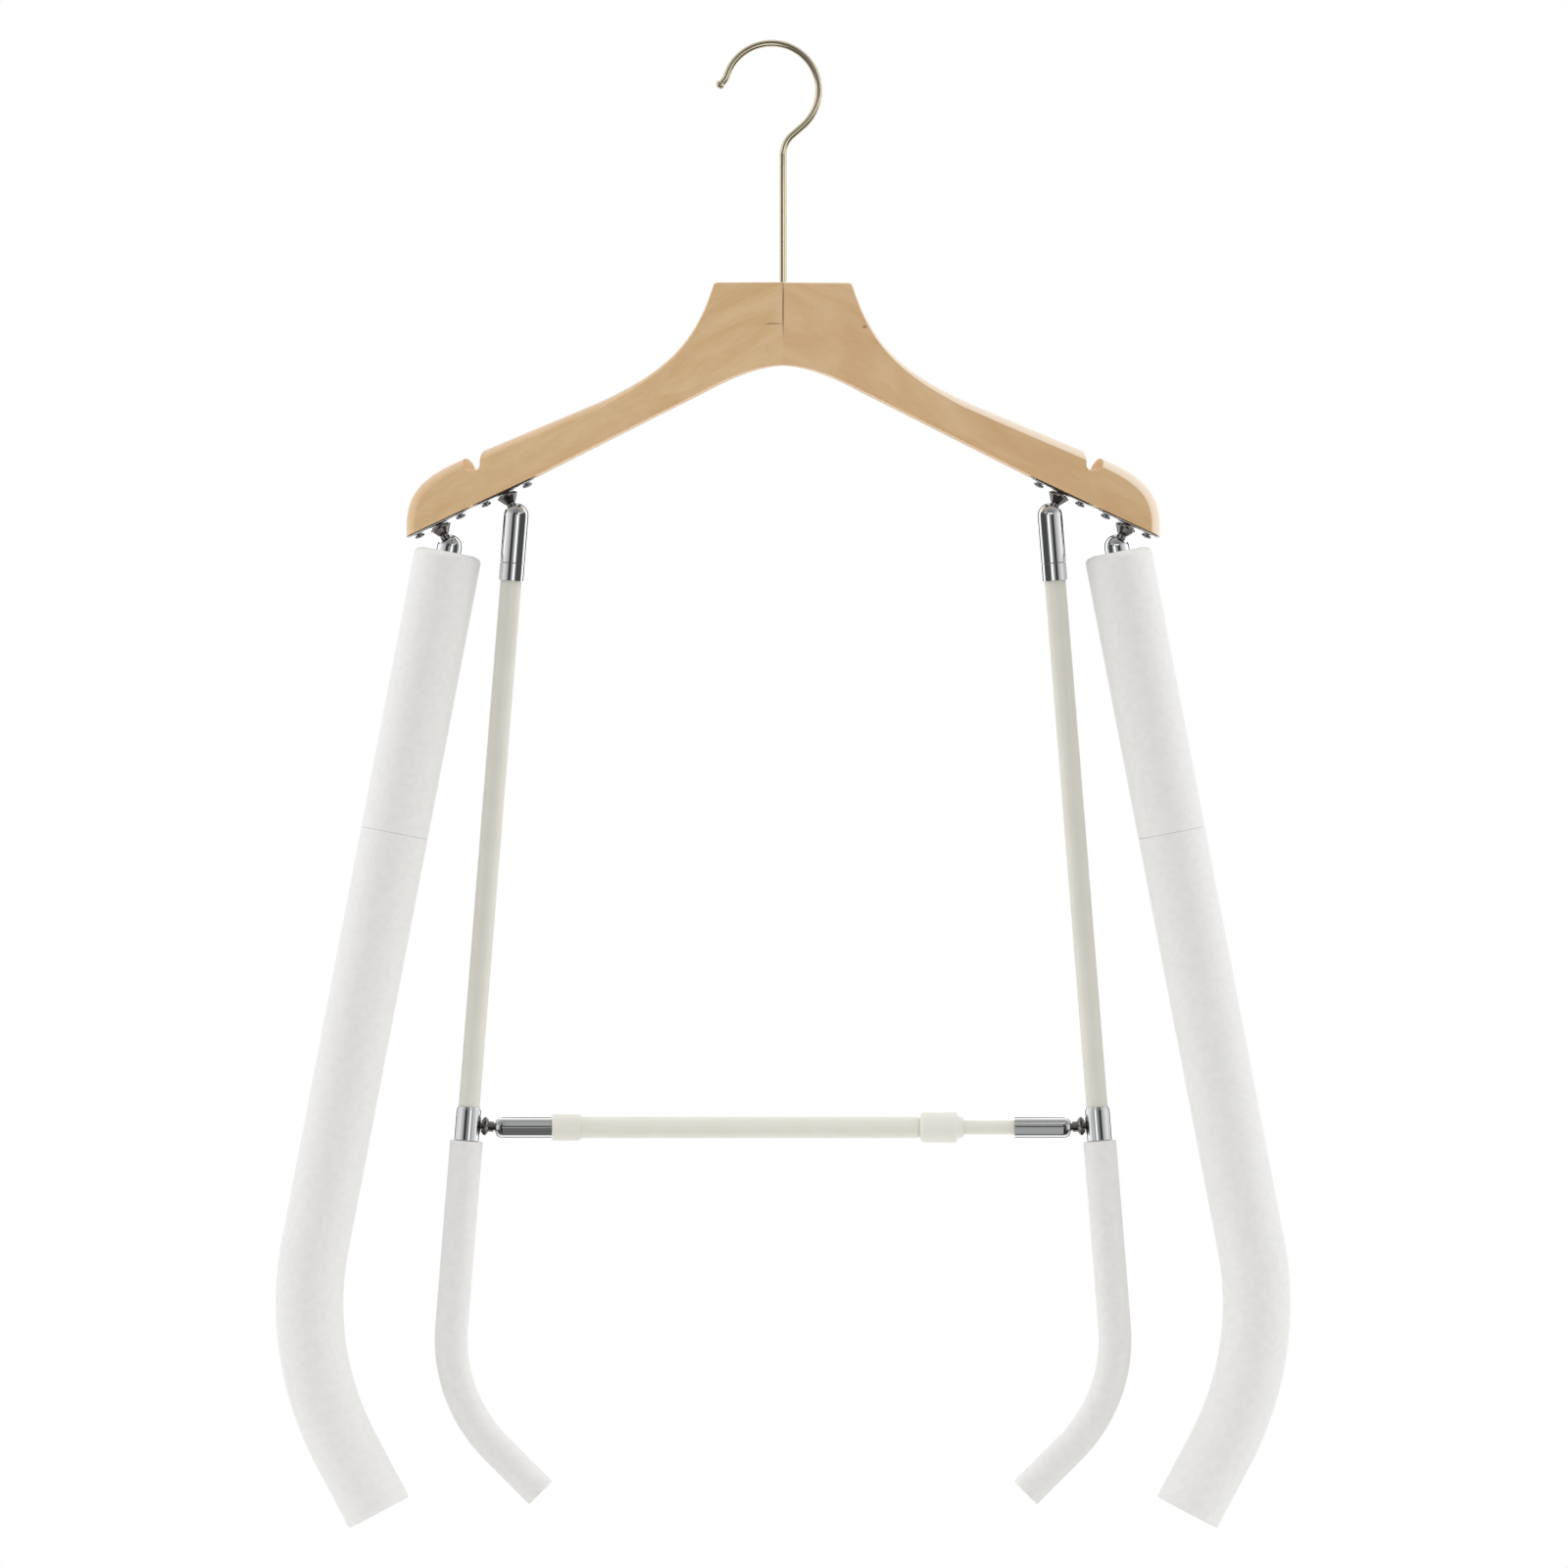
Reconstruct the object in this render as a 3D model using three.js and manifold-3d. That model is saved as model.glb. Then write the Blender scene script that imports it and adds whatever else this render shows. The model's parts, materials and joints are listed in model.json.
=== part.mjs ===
// Dress form hanger: a mitred wooden hanger on a wire hook, with a ball-jointed torso frame and two foam arms.
// Millimetres, +Z up, +X to the right seen from the front, +Y to the back. The origin is the inside top of the hook,
// where the rail carries it. Pieces named _left and _right are a mirrored pair, and the left one is modelled.
import * as THREE from "three";
import { mergeVertices } from "three/addons/utils/BufferGeometryUtils.js";
import Module from "manifold-3d";

const wasm = await Module();
wasm.setup();

// Fits
const fitGap = 0.3; // between separate pieces, running or seated
const overrun = 4; // how far a cutter runs past what it cuts

// Hook
const wireRadius = 2;
const hookBendRadius = 26.2; // centre line of the large arc
const hookTipTurn = 162; // degrees from level on the shank's side, over the top, to the tip's flare
const hookHeelTurn = 49; // degrees that the large arc runs below level on the shank's side
const hookNeckStraight = 7.7;
const hookNeckBendRadius = 14.5;
const hookFlareRadius = 9;
const hookFlareTurn = 28; // degrees
const hookBeadRadius = 2.7;
const hookBeadLength = 4.4;
const shankHeadRadius = 3;
const shankHeadHeight = 1.2;

// Hook seat in the wood
const bushRadius = 5;
const bushLength = 12;
const bushDepth = 6; // from the wood's top down to the bush
const retainerHeight = 5;
const dowelRadius = 3;
const dowelLength = 26;
const dowelAboveArch = 8; // the dowel's axis above the arch under the wood

// Wood
const woodLength = 213.1; // one half, from the mitre along the board
const woodHeight = 142;
const woodThickness = 14;
const woodSweep = 11; // degrees that each half runs back from the mitre
const woodEdgeRadius = 3;
const hookToWood = 130.5; // from the inside top of the hook down to the wood's top
const shoulderSlope = 24.6; // degrees of the straight underside that carries the plates
const shoulderRun = 79.2; // length of that straight underside from the tip
const tipRounding = 3.2;
const notchRadius = 2.8;
const notchDepth = 9.8;
const notchFloor = 4; // width of the flat between the notch's two rounded corners
const notchSlope = 66; // degrees of the notch's outer wall

// Outline of one half: shares of woodLength outwards and of woodHeight downwards
const neckCornerShares = [0.1775, 0];
const neckCurveShares = [
  [0.2271, 0.2444],
  [0.3126, 0.3498],
  [0.4819, 0.4636],
];
const notchPlaceShare = 0.856; // of the straight from the neck curve's end to the shoulder's start
const shoulderStartShares = [0.8524, 0.6897];
const shoulderCurveShares = [
  [0.967, 0.7592],
  [1, 0.8332],
  [1, 0.9502],
];
const tipShares = [1, 0.9915];
const archStartShares = [0.2149, 0.4291];
const archCurveShares = [
  [0.1758, 0.3987],
  [0.0567, 0.3199],
  [0, 0.3199],
];

// Plates and screws under the shoulders
const plateLength = 38.5;
const plateWidth = 11;
const plateThickness = 1.2;
const plateCorner = 3;
const plateSpacing = 41.6; // between the middles of the two plates of a side
const outerPlatePlace = 19.8; // from the wood's tip along the underside to the middle of the outer plate
const screwSpacing = 25.6; // between the two screws of a plate
const screwHeadRadius = 2.8;
const screwHeadHeight = 1.7;
const screwHeadEdge = 0.6; // height of the head's straight rim
const screwRadius = 1.5;
const screwLength = 12; // in the wood

// Ball studs under the plates
const studReach = 15; // from the wood to the ball's centre
const studTailRadius = 2.2;
const studWasherRadius = 5;
const studWasherHeight = 0.9;
const studFlangeRadius = 6;
const studFlangeHeight = 1.1;
const studNeckRadius = 3.4;
const studThroatRadius = 2.6;
const ballRadius = 5.3;

// Ball caps, ferrules and friction cups
const capRadius = 7.35;
const capLength = 26.4; // below the ball's centre
const ferruleLength = 9.6;
const cupWall = 0.7;
const cupRimAngle = 105; // degrees from the cap's top
const cupToTube = 4.6; // from the ball's centre down to the tube's end

// Torso frame
const torsoTilt = 4.55; // degrees that the tubes lean outwards
const torsoTubeRadius = 6;
const torsoTubeWall = 1.2;
const waistDrop = 339.9; // from the torso balls' centres down to the crossbar
const collarRadius = 7.3;
const collarLength = 17.5;
const hipStraight = 113; // along the tube from the waist to its bend
const hipBendRadius = 85;
const hipTurn = 49.5; // degrees
const hipEndStraight = 35.3;
const hipFoamRadius = 9.1;

// Crossbar
const crossDiscRadius = 5;
const crossDiscLength = 3;
const crossTailRadius = 2;
const crossNeckRadius = 3.6;
const crossThroatRadius = 2.1;
const crossBallRadius = 4.1;
const crossBallReach = 18.7; // from the torso tube's axis to the ball's centre
const crossBarrelRadius = 6.1;
const crossBarrelLength = 28; // beyond the ball's centre
const crossBarrelNose = 3.4; // the barrel's rim before the ball's centre
const crossBarrelRounding = 1.6;
const crossMouthRadius = 3.4;
const crossSlotWidth = 5.6;
const crossSlotLength = 7;
const crossSpigotLength = 12;
const crossSpigotWall = 1.2;
const endCapRadius = 7.35;
const endCapLength = 15.8;
const outerTubeRadius = 6;
const outerTubeWall = 1;
const outerTubeGrip = 13; // of the outer tube inside the lock collar
const innerTubeRadius = 3.9;
const innerTubeWall = 0.8;
const innerTubeVisible = 28.3;
const innerTubeHidden = 110; // from the lock collar's nozzle into the outer tube
const innerTubeGrip = 16; // of the inner tube inside its barrel
const lockCollarRadius = 8.5;
const lockCollarLength = 20.7;
const lockCollarRounding = 2;
const lockNozzleRadius = 6.4;
const lockNozzleTipRadius = 5.2;
const lockNozzleLength = 3.3;
const plugHeadLength = 8;
const plugSpigotLength = 6;

// Arms
const armTilt = 10.9; // degrees that the arms lean outwards
const armFoamRadius = 18.8;
const armFoamDrop = 4; // from the ball's centre to the foam's top
const elbowDrop = 161.9; // from the ball's centre along the arm to the elbow
const elbowGap = 1.2; // between the two foam sleeves
const forearmStraight = 232.7;
const forearmBendRadius = 172.4;
const forearmTurn = 38.7; // degrees
const forearmEndStraight = 40.1;
const armTubeRadius = 6;
const armTubeWall = 1.2;
const elbowPinGrip = 24; // how far the elbow pin reaches into each core tube
const foamEndInset = 3; // how far a core tube ends inside its foam

// Travel in degrees that the ball slots leave room for, as lowest and highest value
const torsoSwing = [-25, 25];
const waistSpread = [-2.2, 4];
const armSwing = [-45, 28];
const armLift = [-2, 7];
const slotPitch = 14; // most degrees between two cuts of a slot
const slotClearance = 0.4;

// Facets
const fineSides = 20;
const tubeSides = 16;
const smallSides = 10;
const screwSides = 8;
const curveSteps = 8;
const domeSteps = 4;
const roundingSteps = 3;
const bendSteps = 7;
const hookArcSteps = 22;
const hookNeckSteps = 4;
const hookFlareSteps = 2;

const finish = (color, roughness, metalness) => new THREE.MeshStandardMaterial({ color, roughness, metalness });
const beech = finish("#cba981", 0.55, 0);
const nickel = finish("#b5ab97", 0.3, 1);
const chrome = finish("#d4d6d9", 0.08, 1);
const brass = finish("#b9964e", 0.35, 1);
const ivory = finish("#e6e3d3", 0.45, 0);
const foam = finish("#e9e7e3", 0.95, 0);
const nylon = finish("#dcd9cf", 0.6, 0);

const radians = THREE.MathUtils.degToRad;
const slopeCos = Math.cos(radians(shoulderSlope));
const slopeSin = Math.sin(radians(shoulderSlope));

// Radius of a faceted round hole that clears a shaft by the fit gap
const holeRadius = (shaftRadius, sides) => (shaftRadius + fitGap) / Math.cos(Math.PI / sides);

// Radius of a shaft that clears a faceted round hole by the fit gap
const shaftRadius = (boreRadius, sides) => boreRadius * Math.cos(Math.PI / sides) - fitGap;

function solidOf(geometry) {
  const bare = geometry.index ? geometry.toNonIndexed() : geometry.clone();
  bare.deleteAttribute("normal");
  bare.deleteAttribute("uv");
  const merged = mergeVertices(bare);
  return new wasm.Manifold(
    new wasm.Mesh({
      numProp: 3,
      vertProperties: merged.attributes.position.array,
      triVerts: new Uint32Array(merged.index.array),
    }),
  );
}

function geometryOf(solid) {
  const mesh = solid.getMesh();
  const points = new Float32Array(mesh.numVert * 3);
  for (let i = 0; i < mesh.numVert; i += 1) {
    points.set(mesh.vertProperties.subarray(i * mesh.numProp, i * mesh.numProp + 3), i * 3);
  }
  const geometry = new THREE.BufferGeometry();
  geometry.setAttribute("position", new THREE.BufferAttribute(points, 3));
  geometry.setIndex(new THREE.BufferAttribute(new Uint32Array(mesh.triVerts), 1));
  geometry.computeVertexNormals();
  return geometry;
}

const combine = (how, [first, ...others]) =>
  geometryOf(others.reduce((solid, other) => solid[how](solidOf(other)), solidOf(first)));
const join = (...geometries) => combine("add", geometries);
const cut = (...geometries) => combine("subtract", geometries);
const common = (...geometries) => combine("intersect", geometries);

// A turned piece about +Z, from [radius, height] pairs that run up the outside and down the inside
function turned(profile, sides) {
  const points = profile.map(([radius, height]) => new THREE.Vector2(radius, height));
  return new THREE.LatheGeometry(points, sides).rotateX(Math.PI / 2);
}

// A turned ring about +Z between two heights
function sleeve(outerRadius, boreRadius, bottom, top, sides) {
  const section = [
    [boreRadius, bottom],
    [outerRadius, bottom],
    [outerRadius, top],
    [boreRadius, top],
  ];
  return turned([...section, section[0]], sides);
}

// A round bar about +Z between two heights
function bar(radius, bottom, top, sides) {
  return turned([[0, bottom], [radius, bottom], [radius, top], [0, top]], sides);
}

// Points of a circle's arc as [radius, height] pairs, with angles in degrees from the top
function arc(radius, fromAngle, toAngle, steps, centre = [0, 0]) {
  return Array.from({ length: steps + 1 }, (_, i) => {
    const angle = radians(fromAngle + ((toAngle - fromAngle) * i) / steps);
    return [centre[0] + radius * Math.sin(angle), centre[1] + radius * Math.cos(angle)];
  });
}

// Flat outline in X and Z, given thickness along Y and centred on it
function slab(shape, thickness, options = {}) {
  const bevel = options.bevelThickness ?? 0;
  const depth = thickness - 2 * bevel;
  return new THREE.ExtrudeGeometry(shape, { depth, bevelEnabled: false, curveSegments: curveSteps, ...options })
    .rotateX(Math.PI / 2)
    .translate(0, depth / 2, 0);
}

// A path in the X-Z plane that keeps its own stations, so straight runs need no steps
class RodPath extends THREE.Curve {
  constructor(x, z, heading) {
    super();
    this.heading = radians(heading);
    this.stations = [];
    this.stop(x, z);
  }

  stop(x, z) {
    const direction = new THREE.Vector3(Math.cos(this.heading), 0, Math.sin(this.heading));
    this.stations.push({ point: new THREE.Vector3(x, 0, z), direction });
  }

  get last() {
    return this.stations[this.stations.length - 1];
  }

  get steps() {
    return this.stations.length - 1;
  }

  run(length) {
    const { point, direction } = this.last;
    this.stop(point.x + length * direction.x, point.z + length * direction.z);
    return this;
  }

  // Turns left for a positive number of degrees and right for a negative one
  bend(radius, degrees, steps) {
    const turn = radians(degrees) / steps;
    const chord = 2 * radius * Math.sin(Math.abs(turn) / 2);
    for (let i = 0; i < steps; i += 1) {
      const { point } = this.last;
      const chordHeading = this.heading + turn / 2;
      this.heading += turn;
      this.stop(point.x + chord * Math.cos(chordHeading), point.z + chord * Math.sin(chordHeading));
    }
    return this;
  }

  getPointAt(share, target = new THREE.Vector3()) {
    return target.copy(this.stations[Math.round(share * this.steps)].point);
  }

  getTangentAt(share, target = new THREE.Vector3()) {
    return target.copy(this.stations[Math.round(share * this.steps)].direction);
  }
}

// A round rod or tube along a path, solid where its bore is zero
function pipe(path, outerRadius, boreRadius, sides) {
  const section = new THREE.Shape().absarc(0, 0, outerRadius, 0, 2 * Math.PI, false);
  if (boreRadius > 0) {
    section.holes.push(new THREE.Path().absarc(0, 0, boreRadius, 0, 2 * Math.PI, true));
  }
  return new THREE.ExtrudeGeometry(section, { steps: path.steps, extrudePath: path, curveSegments: sides / 2 });
}

function piece(name, geometry, material) {
  const mesh = new THREE.Mesh(geometry, material);
  mesh.name = name;
  return mesh;
}

function groupAt(x, y, z, ...children) {
  const group = new THREE.Group();
  group.position.set(x, y, z);
  group.add(...children);
  return group;
}

// Hook: the large arc's inside top is at the origin, and the shank drops into the wood
const heel = radians(hookHeelTurn);
const hookShankX =
  hookBendRadius * Math.cos(heel) - hookNeckStraight * Math.sin(heel) - hookNeckBendRadius * (1 - Math.cos(heel));
const hookShankTop =
  wireRadius -
  hookBendRadius * (1 + Math.sin(heel)) -
  hookNeckStraight * Math.cos(heel) -
  hookNeckBendRadius * Math.sin(heel);
const bushTop = -bushDepth - fitGap;
const bushBottom = bushTop - bushLength;
const retainerBottom = bushBottom - fitGap - retainerHeight;
const shankBottom = retainerBottom - fitGap - shankHeadHeight;
const pocketBottom = shankBottom - fitGap;

function buildHook() {
  const shankEnd = shankBottom - hookToWood;
  const path = new RodPath(hookShankX, shankEnd, 90)
    .run(hookShankTop - shankEnd)
    .bend(hookNeckBendRadius, -hookHeelTurn, hookNeckSteps)
    .run(hookNeckStraight)
    .bend(hookBendRadius, hookHeelTurn + hookTipTurn, hookArcSteps)
    .bend(hookFlareRadius, -hookFlareTurn, hookFlareSteps);
  const { point, direction } = path.last;
  const upright = new THREE.Vector3(0, 0, 1);
  const bead = turned(
    [[0, -hookBeadLength / 2], ...arc(hookBeadRadius, 140, 40, domeSteps), [0, hookBeadLength / 2]],
    smallSides,
  )
    .applyQuaternion(new THREE.Quaternion().setFromUnitVectors(upright, direction))
    .translate(point.x, 0, point.z);
  const head = bar(shankHeadRadius, 0, shankHeadHeight, smallSides).translate(hookShankX, 0, shankEnd);
  const retainer = sleeve(
    bushRadius,
    holeRadius(wireRadius, smallSides),
    retainerBottom,
    retainerBottom + retainerHeight,
    smallSides,
  );
  return [
    piece("hook", join(pipe(path, wireRadius, 0, smallSides), bead, head), nickel),
    groupAt(hookShankX, 0, -hookToWood, piece("hook_retainer", retainer, brass)),
  ];
}

// Wood outline, as seen from the front, for the half that runs towards -X
const outlinePoint = ([outwards, downwards]) => [-outwards * woodLength, -downwards * woodHeight];

const tip = outlinePoint(tipShares);
const alongUnderside = (length) => [tip[0] + length * slopeCos, tip[1] + length * slopeSin];

function drawTop(shape) {
  shape.lineTo(...outlinePoint(neckCornerShares));
  shape.bezierCurveTo(...neckCurveShares.flatMap(outlinePoint));
  shape.lineTo(...outlinePoint(shoulderStartShares));
  shape.bezierCurveTo(...shoulderCurveShares.flatMap(outlinePoint));
}

function woodOutline() {
  const shape = new THREE.Shape().moveTo(overrun, 0);
  drawTop(shape);
  shape.lineTo(tip[0], tip[1] + tipRounding);
  shape.quadraticCurveTo(...tip, ...alongUnderside(tipRounding));
  shape.lineTo(...alongUnderside(shoulderRun));
  shape.lineTo(...outlinePoint(archStartShares));
  shape.bezierCurveTo(...archCurveShares.flatMap(outlinePoint));
  shape.lineTo(overrun, outlinePoint(archCurveShares[2])[1]);
  return shape;
}

// The same top edge over a deeper board, which carries the rounding of the top edges
function roundedOutline() {
  const far = 2 * overrun;
  const shape = new THREE.Shape().moveTo(far, 0);
  drawTop(shape);
  shape.lineTo(tip[0], tip[1] - far);
  shape.lineTo(far, tip[1] - far);
  return shape;
}

function notchCutter() {
  const [curveEnd, shoulderStart] = [neckCurveShares[2], shoulderStartShares].map(outlinePoint);
  const [lipX, lipZ] = curveEnd.map((value, i) => THREE.MathUtils.lerp(value, shoulderStart[i], notchPlaceShare));
  const innerX = lipX - notchRadius;
  const outerX = innerX - notchFloor;
  const centreZ = lipZ - notchDepth + notchRadius;
  const slope = radians(notchSlope);
  const climb = notchDepth + overrun;
  const shape = new THREE.Shape().moveTo(lipX, lipZ + overrun);
  shape.lineTo(lipX, centreZ);
  shape.absarc(innerX, centreZ, notchRadius, 0, -Math.PI / 2, true);
  shape.absarc(outerX, centreZ, notchRadius, -Math.PI / 2, -Math.PI / 2 - slope, true);
  shape.lineTo(
    outerX - notchRadius * Math.sin(slope) - climb / Math.tan(slope),
    centreZ - notchRadius * Math.cos(slope) + climb,
  );
  return slab(shape, woodThickness + overrun, { curveSegments: roundingSteps });
}

// Where a plate's middle and a stud's axis meet the underside, in the board's frame
const armSeat = alongUnderside(outerPlatePlace);
const torsoSeat = alongUnderside(outerPlatePlace + plateSpacing);

function screwHoles([seatX, seatZ]) {
  const depth = screwLength + fitGap;
  return [-screwSpacing / 2, screwSpacing / 2].map((offset) =>
    bar(holeRadius(screwRadius, screwSides), -overrun, depth, screwSides)
      .translate(offset, 0, 0)
      .rotateY(-radians(shoulderSlope))
      .translate(seatX, 0, seatZ),
  );
}

const dowelHeight = outlinePoint(archCurveShares[2])[1] + dowelAboveArch;

function buildWood(side) {
  const board = slab(woodOutline(), woodThickness + overrun);
  const rounded = slab(roundedOutline(), woodThickness, {
    bevelEnabled: true,
    bevelThickness: woodEdgeRadius,
    bevelSize: woodEdgeRadius,
    bevelOffset: -woodEdgeRadius,
    bevelSegments: 2,
  });
  const reach = 2 * woodLength;
  const mitre = new THREE.BoxGeometry(reach, reach, reach)
    .translate(reach / 2 - fitGap / 2, 0, 0)
    .rotateZ(radians(woodSweep));
  const bore = turned(
    [
      [0, pocketBottom],
      [holeRadius(bushRadius, tubeSides), pocketBottom],
      [holeRadius(bushRadius, tubeSides), -bushDepth],
      [holeRadius(wireRadius, tubeSides), -bushDepth],
      [holeRadius(wireRadius, tubeSides), overrun],
      [0, overrun],
    ],
    tubeSides,
  );
  const dowelHole = bar(
    holeRadius(dowelRadius, tubeSides),
    -dowelLength / 2 - fitGap,
    dowelLength / 2 + fitGap,
    tubeSides,
  )
    .rotateY(Math.PI / 2)
    .translate(0, 0, dowelHeight)
    .rotateZ(radians(woodSweep));
  const cutters = [mitre, bore, dowelHole, notchCutter(), ...screwHoles(armSeat), ...screwHoles(torsoSeat)];
  return piece("wood_" + side, cut(common(board, rounded), ...cutters), beech);
}

// A plate with its two screws and its ball stud, hanging down from the underside at the origin
function buildPlate() {
  const half = plateLength / 2 - plateCorner;
  const width = plateWidth / 2 - plateCorner;
  const shape = new THREE.Shape();
  const end = half + plateCorner;
  const edge = width + plateCorner;
  shape.moveTo(end, -width).lineTo(end, width).quadraticCurveTo(end, edge, half, edge);
  shape.lineTo(-half, edge).quadraticCurveTo(-end, edge, -end, width);
  shape.lineTo(-end, -width).quadraticCurveTo(-end, -edge, -half, -edge);
  shape.lineTo(half, -edge).quadraticCurveTo(end, -edge, end, -width);
  const hole = (x, radius) =>
    shape.holes.push(new THREE.Path().absarc(x, 0, holeRadius(radius, screwSides), 0, 2 * Math.PI, true));
  hole(-screwSpacing / 2, screwRadius);
  hole(screwSpacing / 2, screwRadius);
  hole(0, studTailRadius);
  const depth = plateThickness;
  const curveSegments = screwSides / 2;
  return new THREE.ExtrudeGeometry(shape, { depth, bevelEnabled: false, curveSegments }).translate(
    0,
    0,
    -fitGap - depth,
  );
}

function buildScrew() {
  const headTop = -2 * fitGap - plateThickness;
  const headBottom = headTop - screwHeadHeight;
  const domeHeight = screwHeadHeight - screwHeadEdge;
  const dome = Array.from({ length: roundingSteps }, (_, i) => {
    const angle = (i / roundingSteps) * (Math.PI / 2);
    return [screwHeadRadius * Math.sin(angle), headBottom + domeHeight * (1 - Math.cos(angle))];
  });
  return turned(
    [
      ...dome,
      [screwHeadRadius, headBottom + domeHeight],
      [screwHeadRadius, headTop],
      [screwRadius, headTop],
      [screwRadius, screwLength - screwRadius],
      [0, screwLength],
    ],
    screwSides,
  );
}

// Angle from the top at which a ball passes into a neck of some radius, in degrees
const throatAngle = (throatRadius, radius) => THREE.MathUtils.radToDeg(Math.asin(throatRadius / radius));

// Stud with its ball's centre at the origin and its flange above
function buildStud() {
  const washerTop = studReach - 2 * fitGap - plateThickness;
  const washerBottom = washerTop - studWasherHeight;
  const flangeBottom = washerBottom - studFlangeHeight;
  const tailTop = washerTop + fitGap + plateThickness;
  return turned(
    [
      ...arc(ballRadius, 180, throatAngle(studThroatRadius, ballRadius), 2 * domeSteps),
      [studNeckRadius, flangeBottom],
      [studFlangeRadius, flangeBottom],
      [studFlangeRadius, washerBottom],
      [studWasherRadius, washerBottom],
      [studWasherRadius, washerTop],
      [studTailRadius, washerTop],
      [studTailRadius, tailTop],
      [0, tailTop],
    ],
    tubeSides,
  );
}

function buildBracket(role, side) {
  const plate = piece(`${role}_plate_${side}`, buildPlate(), chrome);
  const screws = ["outer", "inner"].map((end, i) => {
    const screw = piece(`${role}_screw_${end}_${side}`, buildScrew(), chrome);
    screw.position.x = (i - 1 / 2) * screwSpacing;
    return screw;
  });
  const stud = piece(`${role}_ball_stud_${side}`, buildStud(), chrome);
  stud.position.z = -studReach;
  const [seatX, seatZ] = role === "arm" ? armSeat : torsoSeat;
  const bracket = groupAt(seatX, 0, seatZ, plate, ...screws, stud);
  bracket.rotation.y = -radians(shoulderSlope);
  return bracket;
}

// Centre of a ball in the hanger's frame, whose origin is the wood's top at the hook
function ballCentre([seatX, seatZ]) {
  return new THREE.Vector3(seatX + studReach * slopeSin, 0, seatZ - studReach * slopeCos).applyAxisAngle(
    new THREE.Vector3(0, 0, 1),
    -radians(woodSweep),
  );
}

const torsoBall = ballCentre(torsoSeat);
const armBall = ballCentre(armSeat);

// The poses that a slot is cut for: each joint alone over its travel, then both at their ends
function slotPoses(swing, tilt) {
  const steps = (travel) => Math.max(1, Math.ceil((travel[1] - travel[0]) / slotPitch));
  const spread = (travel) =>
    Array.from({ length: steps(travel) + 1 }, (_, i) => travel[0] + ((travel[1] - travel[0]) * i) / steps(travel));
  return spread(swing).flatMap((s) => spread(tilt).map((t) => [s, t]));
}

// A neck-shaped cutter from the ball's centre along the stud, seen from a cap that has swung and tilted
function neckCutter(lean, swing, tilt) {
  const studAxis = new THREE.Vector3(-slopeSin, 0, slopeCos).applyAxisAngle(
    new THREE.Vector3(0, 0, 1),
    -radians(woodSweep),
  );
  const turn = new THREE.Quaternion()
    .setFromAxisAngle(new THREE.Vector3(0, 1, 0), -radians(lean + tilt))
    .multiply(new THREE.Quaternion().setFromAxisAngle(new THREE.Vector3(1, 0, 0), -radians(swing)))
    .multiply(new THREE.Quaternion().setFromUnitVectors(new THREE.Vector3(0, 0, 1), studAxis));
  const radius = studThroatRadius + slotClearance;
  return bar(holeRadius(radius, smallSides), 0, capRadius + overrun, smallSides).applyQuaternion(turn);
}

// Ball cap with the ball's centre at the origin, open below and slotted for the neck's travel
function buildCap(lean, swing, tilt) {
  const pocketRadius = ballRadius + fitGap;
  const boreRadius = pocketRadius + cupWall + fitGap;
  const shell = turned(
    [
      ...arc(pocketRadius, 0, 90, domeSteps),
      [boreRadius, 0],
      [boreRadius, -capLength],
      [capRadius, -capLength],
      ...arc(capRadius, 90, 0, domeSteps + 1),
    ],
    fineSides,
  );
  return cut(shell, ...slotPoses(swing, tilt).map(([s, t]) => neckCutter(lean, s, t)));
}

function buildFerrule() {
  const top = -capLength - fitGap;
  return sleeve(capRadius, holeRadius(torsoTubeRadius, fineSides), top - ferruleLength, top, fineSides);
}

function buildCup() {
  const inner = ballRadius + fitGap;
  const outer = inner + cupWall;
  return turned([...arc(outer, 180, cupRimAngle, domeSteps), ...arc(inner, cupRimAngle, 180, domeSteps)], tubeSides);
}

function buildBallJoint(role, side, lean, swing, tilt) {
  return [
    piece(`${role}_ball_cap_${side}`, buildCap(lean, swing, tilt), chrome),
    piece(`${role}_ferrule_${side}`, buildFerrule(), chrome),
    piece(`${role}_friction_cup_${side}`, buildCup(), nylon),
  ];
}

// Torso bar: along its own axis the waist is at this height, with the crossbar's ball beside it
const torsoLean = radians(torsoTilt);
const waistHeight = -(waistDrop - crossBallReach * Math.sin(torsoLean)) / Math.cos(torsoLean);

function hipPath(start, end) {
  return new RodPath(0, start, -90)
    .run(start - waistHeight + hipStraight)
    .bend(hipBendRadius, hipTurn, bendSteps)
    .run(hipEndStraight - end);
}

// Stud from the torso tube's axis at the origin along +X to the crossbar's ball
function buildCrossStud() {
  const discBottom = crossBallReach - collarRadius - fitGap;
  const discTop = discBottom - crossDiscLength;
  return turned(
    [
      ...arc(crossBallRadius, 180, throatAngle(crossThroatRadius, crossBallRadius), 2 * domeSteps),
      [crossNeckRadius, discTop],
      [crossDiscRadius, discTop],
      [crossDiscRadius, discBottom],
      [crossTailRadius, discBottom],
      [crossTailRadius, crossBallReach - torsoTubeRadius - fitGap],
      [0, crossBallReach - torsoTubeRadius - fitGap],
    ],
    tubeSides,
  )
    .rotateY(-Math.PI / 2)
    .translate(crossBallReach, 0, 0);
}

function buildCollar() {
  const ring = sleeve(
    collarRadius,
    holeRadius(torsoTubeRadius, tubeSides),
    -collarLength / 2,
    collarLength / 2,
    tubeSides,
  );
  const studHole = bar(holeRadius(crossTailRadius, tubeSides), 0, collarRadius + overrun, tubeSides);
  return cut(ring, studHole.rotateY(Math.PI / 2));
}

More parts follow.
